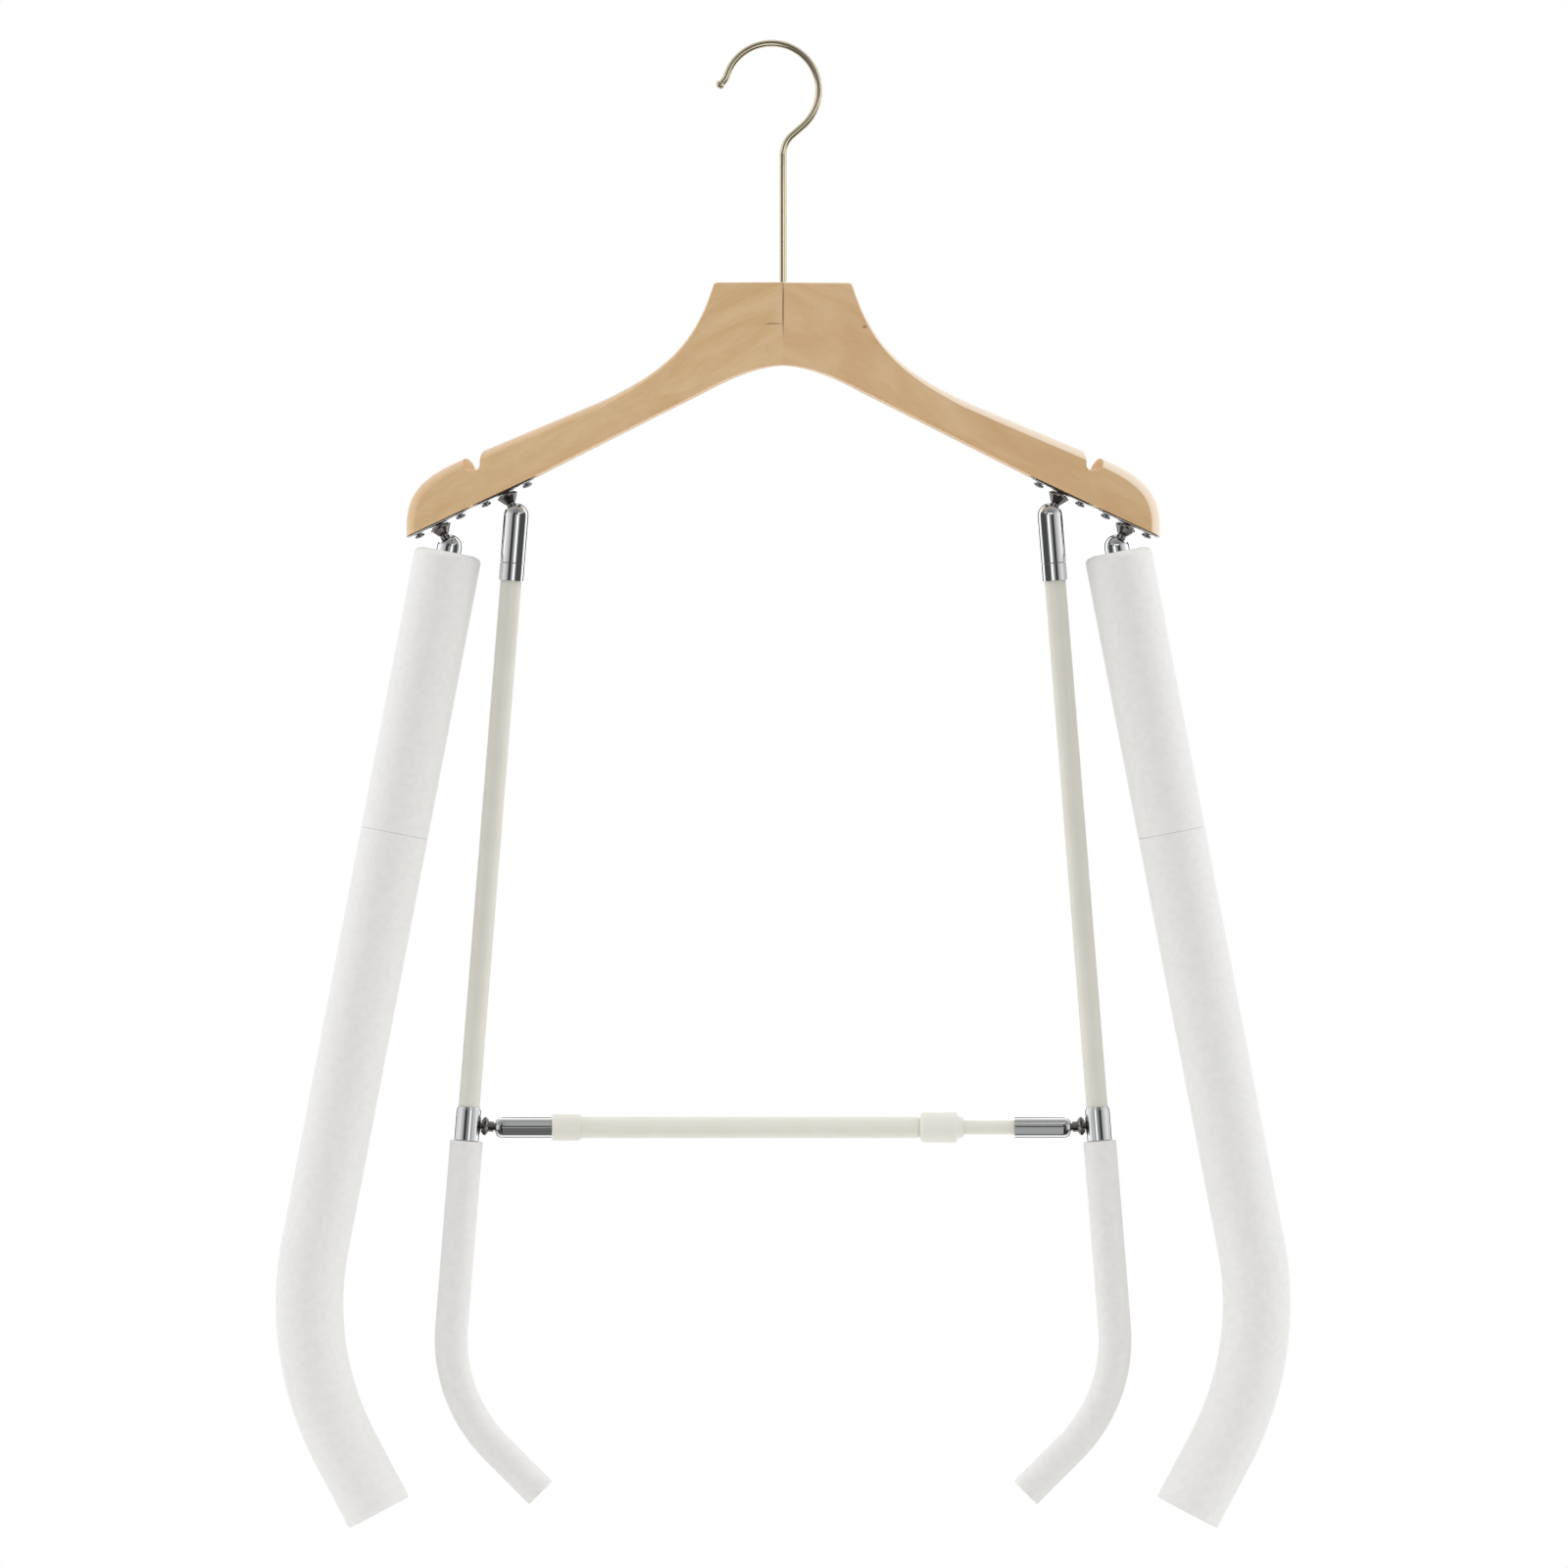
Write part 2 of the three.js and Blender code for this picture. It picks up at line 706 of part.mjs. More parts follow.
function buildTorsoBar(side) {
  const foamTop = waistHeight - collarLength / 2 - fitGap;
  const waist = groupAt(
    0,
    0,
    waistHeight,
    piece("waist_collar_" + side, buildCollar(), chrome),
    piece("crossbar_stud_" + side, buildCrossStud(), chrome),
  );
  const tube = pipe(hipPath(-cupToTube, foamEndInset), torsoTubeRadius, torsoTubeRadius - torsoTubeWall, tubeSides);
  const skin = pipe(hipPath(foamTop, 0), hipFoamRadius, holeRadius(torsoTubeRadius, tubeSides), tubeSides);
  const torso = groupAt(
    ...torsoBall,
    ...buildBallJoint("torso", side, torsoTilt, torsoSwing, waistSpread),
    piece("torso_tube_" + side, tube, ivory),
    piece("hip_foam_" + side, skin, foam),
    waist,
  );
  torso.rotation.y = torsoLean;
  return torso;
}

// Arm along its own axis, with the ball's centre at the origin and the elbow below
function buildUpperArm(side) {
  const bottom = -elbowDrop + elbowGap / 2;
  const sleeveBore = holeRadius(capRadius, fineSides);
  return [
    piece("upper_arm_foam_" + side, sleeve(armFoamRadius, sleeveBore, bottom, -armFoamDrop, fineSides), foam),
    piece(
      "upper_arm_tube_" + side,
      sleeve(armTubeRadius, armTubeRadius - armTubeWall, bottom, -cupToTube, smallSides),
      ivory,
    ),
  ];
}

function forearmPath(end) {
  return new RodPath(0, -elbowDrop - elbowGap / 2, -90)
    .run(forearmStraight)
    .bend(forearmBendRadius, forearmTurn, bendSteps)
    .run(forearmEndStraight - end);
}

function buildForearm(side) {
  const bore = holeRadius(armTubeRadius, tubeSides);
  const tube = pipe(forearmPath(foamEndInset), armTubeRadius, armTubeRadius - armTubeWall, smallSides);
  return [
    piece("forearm_foam_" + side, pipe(forearmPath(0), armFoamRadius, bore, tubeSides), foam),
    piece("forearm_tube_" + side, tube, ivory),
  ];
}

function buildElbowPin() {
  const radius = shaftRadius(armTubeRadius - armTubeWall, smallSides);
  const flange = elbowGap / 2 - fitGap;
  return turned(
    [
      [0, -elbowPinGrip],
      [radius, -elbowPinGrip],
      [radius, -flange],
      [armTubeRadius, -flange],
      [armTubeRadius, flange],
      [radius, flange],
      [radius, elbowPinGrip],
      [0, elbowPinGrip],
    ],
    smallSides,
  ).translate(0, 0, -elbowDrop);
}

function buildArm(side) {
  const arm = groupAt(
    ...armBall,
    ...buildBallJoint("arm", side, armTilt, armSwing, armLift),
    ...buildUpperArm(side),
    ...buildForearm(side),
    piece("elbow_pin_" + side, buildElbowPin(), chrome),
  );
  arm.rotation.y = radians(armTilt);
  return arm;
}

function buildSide(side) {
  const board = groupAt(0, 0, 0, buildWood(side), buildBracket("torso", side), buildBracket("arm", side));
  board.rotation.z = -radians(woodSweep);
  return groupAt(0, 0, 0, board, buildTorsoBar(side), buildArm(side));
}

// Crossbar: turned pieces along +X, from the left ball to the right ball
const crossBallX = Math.abs(
  torsoBall.x + waistHeight * Math.sin(torsoLean) + crossBallReach * Math.cos(torsoLean),
);
const barrelReach = crossBallX - crossBarrelLength; // where both barrels end
const nozzleEnd = barrelReach - innerTubeVisible;
const lockStart = nozzleEnd - lockNozzleLength - lockCollarLength;

// A barrel with its ball's centre at the origin and its mouth above
function buildCrossBarrel(tail, tailRadius, boreRadius) {
  const pocketRadius = crossBallRadius + fitGap;
  const mouthAngle = throatAngle(crossMouthRadius, pocketRadius);
  const roundingCentre = [crossBarrelRadius - crossBarrelRounding, crossBarrelNose - crossBarrelRounding];
  const shell = turned(
    [
      [boreRadius, -crossBarrelLength - tail],
      [tailRadius, -crossBarrelLength - tail],
      [tailRadius, -crossBarrelLength],
      [crossBarrelRadius, -crossBarrelLength],
      ...arc(crossBarrelRounding, 90, 0, roundingSteps, roundingCentre),
      [crossMouthRadius, crossBarrelNose],
      ...arc(pocketRadius, mouthAngle, 90, domeSteps),
      [pocketRadius, -pocketRadius],
      [boreRadius, -pocketRadius],
      [boreRadius, -crossBarrelLength - tail],
    ].filter(([r, z], i, all) => i === 0 || r !== all[i - 1][0] || z !== all[i - 1][1]),
    tubeSides,
  );
  const slot = new THREE.BoxGeometry(crossBarrelRadius + overrun, crossSlotWidth, crossSlotLength).translate(
    (crossBarrelRadius + overrun) / 2,
    0,
    crossBarrelNose + overrun / 2 - crossSlotLength / 2,
  );
  return cut(shell, slot);
}

const alongX = (geometry, x) => geometry.rotateY(Math.PI / 2).translate(x, 0, 0);

function buildLockCollar() {
  const tubeBore = holeRadius(outerTubeRadius, tubeSides);
  const rodBore = holeRadius(innerTubeRadius, tubeSides);
  const seat = lockStart + outerTubeGrip + fitGap;
  const inner = lockCollarRadius - lockCollarRounding;
  const profile = [
    [tubeBore, lockStart],
    ...arc(lockCollarRounding, 180, 90, roundingSteps, [inner, lockStart + lockCollarRounding]),
    ...arc(lockCollarRounding, 90, 0, roundingSteps, [inner, lockStart + lockCollarLength - lockCollarRounding]),
    [lockNozzleRadius, lockStart + lockCollarLength],
    [lockNozzleTipRadius, nozzleEnd],
    [rodBore, nozzleEnd],
    [rodBore, seat],
    [tubeBore, seat],
    [tubeBore, lockStart],
  ];
  return alongX(turned(profile, fineSides), 0);
}

function buildCrossbar() {
  const outerBore = outerTubeRadius - outerTubeWall;
  const innerBore = innerTubeRadius - innerTubeWall;
  const spigotRadius = shaftRadius(outerBore, tubeSides);
  const leftBarrel = buildCrossBarrel(crossSpigotLength, spigotRadius, spigotRadius - crossSpigotWall)
    .rotateY(-Math.PI / 2)
    .translate(-crossBallX, 0, 0);
  const rightBarrel = buildCrossBarrel(0, crossBarrelRadius, holeRadius(innerTubeRadius, tubeSides))
    .rotateZ(Math.PI)
    .rotateY(Math.PI / 2)
    .translate(crossBallX, 0, 0);
  const outerStart = -barrelReach + fitGap;
  const innerStart = nozzleEnd - innerTubeHidden;
  const plug = turned(
    [
      [0, innerStart - fitGap - plugHeadLength],
      [shaftRadius(outerBore, tubeSides), innerStart - fitGap - plugHeadLength],
      [shaftRadius(outerBore, tubeSides), innerStart - fitGap],
      [shaftRadius(innerBore, tubeSides), innerStart - fitGap],
      [shaftRadius(innerBore, tubeSides), innerStart + plugSpigotLength],
      [0, innerStart + plugSpigotLength],
    ],
    tubeSides,
  );
  const tube = (outer, bore, from, to) => alongX(sleeve(outer, bore, from, to, tubeSides), 0);
  const capBore = holeRadius(outerTubeRadius, tubeSides);
  return [
    piece("crossbar_barrel_left", leftBarrel, chrome),
    piece("crossbar_end_cap", tube(endCapRadius, capBore, outerStart, outerStart + endCapLength), ivory),
    piece(
      "crossbar_outer_tube",
      tube(outerTubeRadius, outerBore, outerStart + fitGap, lockStart + outerTubeGrip),
      ivory,
    ),
    piece("crossbar_lock_collar", buildLockCollar(), ivory),
    piece(
      "crossbar_inner_tube",
      tube(innerTubeRadius, innerBore, innerStart, barrelReach + innerTubeGrip),
      ivory,
    ),
    piece("crossbar_guide_plug", alongX(plug, 0), nylon),
    piece("crossbar_barrel_right", rightBarrel, chrome),
  ];
}

function buildHanger() {
  const leftSide = buildSide("left");
  const rightSide = buildSide("right");
  rightSide.scale.x = -1;
  const bushBore = holeRadius(wireRadius, smallSides);
  const bush = piece("hook_bush", sleeve(bushRadius, bushBore, bushBottom, bushTop, smallSides), brass);
  const dowel = bar(dowelRadius, -dowelLength / 2, dowelLength / 2, smallSides);
  const mitreDowel = piece("mitre_dowel", alongX(dowel, 0).translate(0, 0, dowelHeight), beech);
  const crossbar = groupAt(0, torsoBall.y, torsoBall.z - waistDrop, ...buildCrossbar());
  return groupAt(hookShankX, 0, -hookToWood, leftSide, rightSide, bush, mitreDowel, crossbar);
}

const hanger = groupAt(0, 0, 0, ...buildHook(), buildHanger());

export default hanger;
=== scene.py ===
"""Looks of the dress form hanger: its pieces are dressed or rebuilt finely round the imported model.

Sizes in the classes' fields are millimetres and degrees, and the studio's are metres. Each piece is shaped in its own
frame, with the frames of the CAD model, and is set in the model's metres at the end. +Z is up, +X is to the right seen
from the front and +Y is to the back. Side.LEFT is the half that is modelled, and Side.RIGHT is its mirror image.
"""

from __future__ import annotations

import json
import logging
import math
from dataclasses import dataclass
from enum import Enum
from functools import partial
from typing import Any, Callable, Iterable, Mapping, Sequence

import bmesh
import bpy
from mathutils import Matrix, Vector, geometry

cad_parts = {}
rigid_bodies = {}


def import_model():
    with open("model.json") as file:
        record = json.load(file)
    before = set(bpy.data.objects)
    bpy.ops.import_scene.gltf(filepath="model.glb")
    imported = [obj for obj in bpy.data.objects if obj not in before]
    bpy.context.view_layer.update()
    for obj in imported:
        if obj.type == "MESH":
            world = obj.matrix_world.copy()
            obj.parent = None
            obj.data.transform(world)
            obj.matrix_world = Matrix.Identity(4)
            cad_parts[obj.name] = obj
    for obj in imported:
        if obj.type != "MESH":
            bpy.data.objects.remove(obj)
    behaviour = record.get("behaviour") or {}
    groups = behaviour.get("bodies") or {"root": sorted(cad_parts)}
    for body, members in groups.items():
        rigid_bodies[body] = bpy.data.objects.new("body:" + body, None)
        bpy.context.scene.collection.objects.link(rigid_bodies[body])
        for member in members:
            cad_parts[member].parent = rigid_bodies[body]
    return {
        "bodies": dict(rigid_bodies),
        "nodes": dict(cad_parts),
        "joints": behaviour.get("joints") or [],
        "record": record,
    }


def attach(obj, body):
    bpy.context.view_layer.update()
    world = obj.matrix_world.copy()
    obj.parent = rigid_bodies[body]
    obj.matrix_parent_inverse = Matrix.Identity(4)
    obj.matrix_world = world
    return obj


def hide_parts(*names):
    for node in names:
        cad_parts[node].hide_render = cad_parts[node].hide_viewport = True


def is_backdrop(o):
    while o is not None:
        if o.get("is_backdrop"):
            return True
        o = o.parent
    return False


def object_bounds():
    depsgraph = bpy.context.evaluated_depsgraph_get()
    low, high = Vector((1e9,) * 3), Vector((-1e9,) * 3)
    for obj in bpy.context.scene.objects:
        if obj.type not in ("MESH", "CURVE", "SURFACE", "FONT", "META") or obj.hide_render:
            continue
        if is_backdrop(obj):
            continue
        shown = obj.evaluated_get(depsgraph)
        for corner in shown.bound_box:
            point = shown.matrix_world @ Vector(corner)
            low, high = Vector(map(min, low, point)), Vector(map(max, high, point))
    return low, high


LOG = logging.getLogger("dress_form_hanger")
METRES = 0.001  # in one millimetre
GAP = 0.3  # between pieces that touch or slide, in the CAD model and here
PLAY = 0.35  # between a tube and a wider bore round it
SAME = 1e-4  # points closer than this are one point
FLAT = 1  # material number that marks faces to shade flat until a piece gets its finish
MID_NOISE = {"From Min": 0.3, "From Max": 0.7}  # the span that most of a noise lies in
A, B = 6, 7  # inputs of a Mix node that mixes colours
Point = tuple[float, float]
Triple = tuple[float, float, float]
Stops = Sequence[tuple[float, str]]
Sockets = Mapping[str | int, Any]
Adder = Callable[..., bpy.types.Node]
Shape = bmesh.types.BMesh
Vert, Edge, Face = bmesh.types.BMVert, bmesh.types.BMEdge, bmesh.types.BMFace


class Side(Enum):
    """The two mirrored halves, seen from the front."""

    LEFT = "left"
    RIGHT = "right"

    @property
    def mirror(self) -> Matrix:
        """Matrix from the left half's frame to this half's."""
        return Matrix.Scale(-1, 4, (1, 0, 0)) if self is Side.RIGHT else Matrix.Identity(4)


class Role(Enum):
    """What hangs from a ball joint. The value is the word for it in its pieces' names."""

    TORSO = "torso"
    ARM = "arm"

    @property
    def body(self) -> str:
        """Name of the body that hangs there, without its side."""
        return "torso_bar" if self is Role.TORSO else "upper_arm"


def turn(degrees: float, axis: str) -> Matrix:
    """Matrix that turns about an axis."""
    return Matrix.Rotation(math.radians(degrees), 4, axis)


def shift(x: float, y: float, z: float) -> Matrix:
    """Matrix that moves along the three axes."""
    return Matrix.Translation((x, y, z))


def add_object(name: str, data: bpy.types.ID) -> bpy.types.Object:
    """Adds an object to the scene.

    Args:
        name: its name.
        data: its mesh, light or camera.

    Returns:
        The new object, at the origin.
    """
    made = bpy.data.objects.new(name, data)
    bpy.context.scene.collection.objects.link(made)
    return made


def to_mesh(name: str, shape: Shape) -> bpy.types.Mesh:
    """Turns a shape into a mesh.

    Args:
        name: name of the mesh.
        shape: the shape, which is used up.

    Returns:
        The new mesh.
    """
    mesh = bpy.data.meshes.new(name)
    shape.to_mesh(mesh)
    shape.free()
    return mesh


class Bench:
    """Keeps one material of each finish and sets finished meshes into the scene."""

    def __init__(self, frame: Mapping[str, Any]) -> None:
        self.frame = frame
        self.materials: dict[str, bpy.types.Material] = {}

    def material(self, finish: Finish) -> bpy.types.Material:
        """Gives the material of a finish, made on its first use.

        Args:
            finish: the finish.

        Returns:
            Its material.
        """
        if finish.name not in self.materials:
            self.materials[finish.name] = finish.make()
        return self.materials[finish.name]

    def set_piece(
        self, name: str, shape: Shape, place: Matrix, finish: Finish, body: str, node: str, crease: float = 32.0
    ) -> None:
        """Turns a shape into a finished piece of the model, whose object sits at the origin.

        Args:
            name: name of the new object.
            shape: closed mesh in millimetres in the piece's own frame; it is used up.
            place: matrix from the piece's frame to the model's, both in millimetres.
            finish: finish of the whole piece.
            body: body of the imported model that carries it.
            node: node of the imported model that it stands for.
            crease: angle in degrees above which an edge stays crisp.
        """
        bmesh.ops.remove_doubles(shape, verts=shape.verts, dist=SAME)
        shape.transform(Matrix.Scale(METRES, 4) @ place)
        bmesh.ops.recalc_face_normals(shape, faces=shape.faces)
        mesh = to_mesh(name, shape)
        flat = [p.index for p in mesh.polygons if p.material_index == FLAT]
        mesh.polygons.foreach_set("use_smooth", [True] * len(mesh.polygons))
        mesh.polygons.foreach_set("material_index", [0] * len(mesh.polygons))
        mesh.set_sharp_from_angle(angle=math.radians(crease))
        for index in flat:
            mesh.polygons[index].use_smooth = False
        mesh.materials.append(self.material(finish))
        piece = add_object(name, mesh)
        piece.modifiers.new("flat_faces_shade_flat", "WEIGHTED_NORMAL").keep_sharp = True
        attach(piece, body)
        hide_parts(node)
        isinstance(finish, Foam)
        LOG.info("%s: %d faces on %s, for %s", name, len(mesh.polygons), body, node)

    def dress(self, finish: Finish, *nodes: str) -> None:
        """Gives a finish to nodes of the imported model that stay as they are.

        Args:
            finish: the finish.
            *nodes: names of the nodes.
        """
        for node in nodes:
            for slot in self.frame["nodes"][node].material_slots:
                slot.material = self.material(finish)
            LOG.info("%s: kept, in %s", node, finish.name)


# -------------------------------------------------- finishes


def linear(colour: str) -> tuple[float, float, float, float]:
    """Linear RGBA of an sRGB hex colour such as "#c8a078"."""
    parts = [int(colour[i : i + 2], 16) / 255 for i in (1, 3, 5)]
    return (*((c / 12.92 if c <= 0.04045 else ((c + 0.055) / 1.055) ** 2.4) for c in parts), 1.0)


def add_node(
    tree: bpy.types.NodeTree, kind: str, inputs: Sockets | None = None, stops: Stops = (), **settings: Any
) -> bpy.types.Node:
    """Adds a node with its settings, values and links.

    Args:
        tree: node tree that it goes into.
        kind: node type without its first words, such as "TexNoise".
        inputs: for an input's name or number, a value, or the output socket that feeds it, or a node whose first
            output in use feeds it.
        stops: colour ramp stops as position and hex colour.
        **settings: the node's own properties.

    Returns:
        The new node.
    """
    node = tree.nodes.new(f"ShaderNode{kind}")
    for key, value in settings.items():
        setattr(node, key, value)
    for key, value in (inputs or {}).items():
        if isinstance(value, bpy.types.Node):
            value = next(output for output in value.outputs if output.enabled)
        if isinstance(value, bpy.types.NodeSocket):
            tree.links.new(value, node.inputs[key])
        else:
            node.inputs[key].default_value = value
    if stops:
        ramp = node.color_ramp
        while len(ramp.elements) < len(stops):
            ramp.elements.new(0.5)
        for element, (position, colour) in zip(ramp.elements, stops):
            element.position = position
            element.color = linear(colour)
    return node


def adder(owner: bpy.types.Material | bpy.types.World) -> Adder:
    """Empties the node tree of a new material or world.

    Args:
        owner: the material or world.

    Returns:
        add_node() for that tree.
    """
    owner.use_nodes = True
    owner.node_tree.nodes.clear()
    return partial(add_node, owner.node_tree)


@dataclass(frozen=True)
class Finish:
    """A surface finish: what it is called, and the record's material slot that it belongs to."""

    name: str
    slot: str

    def make(self) -> bpy.types.Material:
        """Makes the material.

        Returns:
            The finished material.
        """
        material = bpy.data.materials.new(self.name)
        add = adder(material)
        place = add("TexCoord").outputs["Object"]
        shader = add("BsdfPrincipled", self.paint(add, place))
        add("OutputMaterial", {0: shader})
        return material

    def paint(self, add: Adder, place: bpy.types.NodeSocket) -> Sockets:
        """Adds the nodes of a finish. Each finish has its own.

        Args:
            add: adds a node to the material.
            place: the object's own coordinates, in metres.

        Returns:
            What goes into the shader's inputs.
        """
        raise NotImplementedError


@dataclass(frozen=True)
class Beech(Finish):
    """Steamed beech, planed and sanded under a clear matt lacquer.

    The eye gets warm tan with faint darker growth bands that follow the wing, short fine pores along the grain and a
    soft sheen with no mirror in it.
    """

    grain_slope: float = 24.6  # degrees that the grain climbs towards the neck
    light: str = "#e8c89b"
    middle: str = "#e3c091"
    dark: str = "#deb885"
    pore: str = "#c09562"
    edge: str = "#ecd6c4"  # painted highlight on the rounded edge, next to the face
    outer: str = "#ecd6c4"  # and at its outer side
    worn: Point = (0.3, 0.95)  # turn of the rounded edge, as a share of square, over which the painted highlight fades in
    worn_out: float = 0.6  # turn at which it has the outer side's colour
    band: float = 17.0  # across one growth band, mm
    band_stretch: float = 0.16  # its width for its length
    fibre: float = 1.3  # across one fibre streak, mm; real ones are 0.2 mm, too fine to show
    fibre_stretch: float = 0.07
    pores: Triple = (0.17, 1.5, 1.5)  # in one mm along the grain, through and across it
    roughness: Point = (0.42, 0.56)
    relief: float = 0.08
    depth: float = 0.3  # from a fibre's crest to its hollow at full relief, mm
    fleck: str = "#7a5836"
    marks: tuple[tuple[float, float, float, float], ...] = ()  # x, z, half length and half height of natural flecks and of the painted shade in the mitre seam

    def paint(self, add: Adder, place: bpy.types.NodeSocket) -> Sockets:
        """Adds growth bands, fibre streaks, pores, a painted highlight on the rounded edges, a few natural flecks and
        painted shade along the mitre seam.

        Args:
            add: adds a node to the material.
            place: the object's own coordinates, in metres.

        Returns:
            What goes into the shader's inputs.
        """
        along = add("Mapping", {0: place, "Rotation": (0, math.radians(self.grain_slope), 0)})
        wave, streak = 1000 / self.band, 1000 / self.fibre
        bands = add("Mapping", {0: along, "Scale": (self.band_stretch * wave, wave, wave)})
        broad = add("TexNoise", {0: bands, "Scale": 1.0, "Detail": 3.0, "Distortion": 1.4})
        tone = add("ValToRGB", {0: broad}, ((0.34, self.dark), (0.5, self.middle), (0.66, self.light)))
        fine = add("Mapping", {0: along, "Scale": (self.fibre_stretch * streak, streak, streak)})
        fibres = add("TexNoise", {0: fine, "Scale": 1.0, "Detail": 2.0, "Distortion": 0.2})
        faint = add("ValToRGB", {0: fibres}, ((0.3, "#fbf8f2"), (0.62, "#ffffff")))
        colour = add("Mix", {"Factor": 1.0, A: tone, B: faint}, data_type="RGBA", blend_type="MULTIPLY")
        fine = add("Mapping", {0: along, "Scale": [1000 * count for count in self.pores]})
        pores = add("TexNoise", {0: fine, "Scale": 1.0, "Detail": 1.0})
        mask = add("ValToRGB", {0: pores}, ((0.7, "#000000"), (0.8, "#6c6c6c")))
        colour = add("Mix", {"Factor": mask, A: colour, B: linear(self.pore)}, data_type="RGBA")
        # painted highlight: the rounded edges get paler the more they turn away from the face
        rim = add("Attribute", attribute_name="rim").outputs["Fac"]
        rim_highlight_share = add("MapRange", {0: rim, "From Min": self.worn[0], "From Max": self.worn[1]})
        rim_highlight_colour = add("ValToRGB", {0: rim}, ((self.worn[0], self.edge), (self.worn_out, self.outer)))
        colour = add("Mix", {"Factor": rim_highlight_share, A: colour, B: rim_highlight_colour}, data_type="RGBA")
        # natural flecks, and painted shade along the mitre seam
        for x, z, half_length, half_height in self.marks:
            scale = (1 / (half_length * METRES), 0.0, 1 / (half_height * METRES))
            offset = (-x * METRES * scale[0], 0.0, -z * METRES * scale[2])
            spot = add("Mapping", {0: place, "Scale": scale, "Location": offset})
            ball = add("TexGradient", {0: spot}, gradient_type="SPHERICAL")
            mask = add("ValToRGB", {0: ball}, ((0.0, "#000000"), (0.55, "#d8d8d8")))
            colour = add("Mix", {"Factor": mask, A: colour, B: linear(self.fleck)}, data_type="RGBA")
        low, high = self.roughness
        return {
            "Base Color": colour,
            "Roughness": add("MapRange", {0: fibres, "To Min": low, "To Max": high}),
            "Normal": add("Bump", {"Height": fibres, "Strength": self.relief, "Distance": self.depth * METRES}),
            "IOR": 1.5,
            "Coat Weight": 0.08,
            "Coat Roughness": 0.35,
        }


@dataclass(frozen=True)
class Plated(Finish):
    """Plated metal: polished chrome, satin nickel or plain turned metal.

    The plate follows the polished metal under it, so the eye gets the surroundings in it, with faint polishing marks.
    """

    colour: str = "#e4e5e6"
    roughness: Point = (0.03, 0.09)
    mark: float = 0.9  # size of one polishing mark, mm
    relief: float = 0.003
    swells: float = 0.14  # swellings of the surface in one mm
    depth: float = 1.0  # from crest to hollow at full relief, mm

    def paint(self, add: Adder, place: bpy.types.NodeSocket) -> Sockets:
        """Adds polishing marks to the metal's roughness and relief.

        Args:
            add: adds a node to the material.
            place: the object's own coordinates, in metres.

        Returns:
            What goes into the shader's inputs.
        """
        marks = add("TexNoise", {0: place, "Scale": 1000 / self.mark, "Detail": 3.0, "Roughness": 0.6})
        low, high = self.roughness
        swell = add("TexNoise", {0: place, "Scale": 1000 * self.swells, "Detail": 1.0})
        return {
            "Base Color": linear(self.colour),
            "Metallic": 1.0,
            "Roughness": add("MapRange", {0: marks, **MID_NOISE, "To Min": low, "To Max": high}),
            "Normal": add("Bump", {"Height": swell, "Strength": self.relief, "Distance": self.depth * METRES}),
        }


@dataclass(frozen=True)
class Coated(Finish):
    """Powder coat or moulded nylon: an even pale colour with a fine texture.

    Powder coat melts into a fine orange peel, and a moulded piece takes the mould's spark-eroded grain. The eye gets
    a satin highlight that breaks up a little.
    """

    colour: str = "#e5e3d9"
    shade: str = "#e1dfd4"
    roughness: Point = (0.3, 0.38)
    grain: float = 1.1  # size of one swelling of the surface, mm
    relief: float = 0.04
    clouds: float = 0.045  # patches of uneven colour in one mm
    depth: float = 0.4  # from crest to hollow at full relief, mm

    def paint(self, add: Adder, place: bpy.types.NodeSocket) -> Sockets:
        """Adds orange peel or mould grain, with a trace of unevenness in the colour.

        Args:
            add: adds a node to the material.
            place: the object's own coordinates, in metres.

        Returns:
            What goes into the shader's inputs.
        """
        peel = add("TexNoise", {0: place, "Scale": 1000 / self.grain, "Detail": 2.0})
        cloud = add("TexNoise", {0: place, "Scale": 1000 * self.clouds, "Detail": 2.0})
        low, high = self.roughness
        return {
            "Base Color": add("ValToRGB", {0: cloud}, ((0.35, self.shade), (0.65, self.colour))),
            "Roughness": add("MapRange", {0: peel, **MID_NOISE, "To Min": low, "To Max": high}),
            "Normal": add("Bump", {"Height": peel, "Strength": self.relief, "Distance": self.depth * METRES}),
            "IOR": 1.5,
            "Coat Weight": 0.2,
            "Coat Roughness": 0.3,
        }


@dataclass(frozen=True)
class Foam(Finish):
    """White cross-linked polyethylene foam, extruded as a tube with a closed matt skin.

    The eye gets a dry, lightless white with a faint pebbling of its cells, a little softer at the turning edge.
    """

    colour: str = "#f2f1ef"
    shade: str = "#eeedeb"
    cell: float = 1.4  # one cell, mm; real ones are 0.6 mm, drawn coarser so that they show
    relief: float = 0.15
    depth: float = 0.3  # of a cell at full relief, mm
    pebbles: float = 0.26  # in one mm
    pebble_relief: float = 0.07
    pebble_depth: float = 0.6

    def paint(self, add: Adder, place: bpy.types.NodeSocket) -> Sockets:
        """Adds closed cells under a matt, faintly pebbled skin.

        Args:
            add: adds a node to the material.
            place: the object's own coordinates, in metres.

        Returns:
            What goes into the shader's inputs.
        """
        cells = add("TexVoronoi", {0: place, "Scale": 1000 / self.cell}, feature="SMOOTH_F1")
        skin = add("TexNoise", {0: place, "Scale": 1000 * self.pebbles, "Detail": 3.0, "Roughness": 0.5})
        fine = add("Bump", {"Height": cells, "Strength": self.relief, "Distance": self.depth * METRES})
        bump = {"Height": skin, "Strength": self.pebble_relief, "Distance": self.pebble_depth * METRES, "Normal": fine}
        return {
            "Base Color": add("ValToRGB", {0: skin}, ((0.35, self.shade), (0.65, self.colour))),
            "Normal": add("Bump", bump),
            "Roughness": 0.92,
            "IOR": 1.45,
            "Specular IOR Level": 0.3,
            "Sheen Weight": 0.08,
            "Sheen Roughness": 0.6,
        }


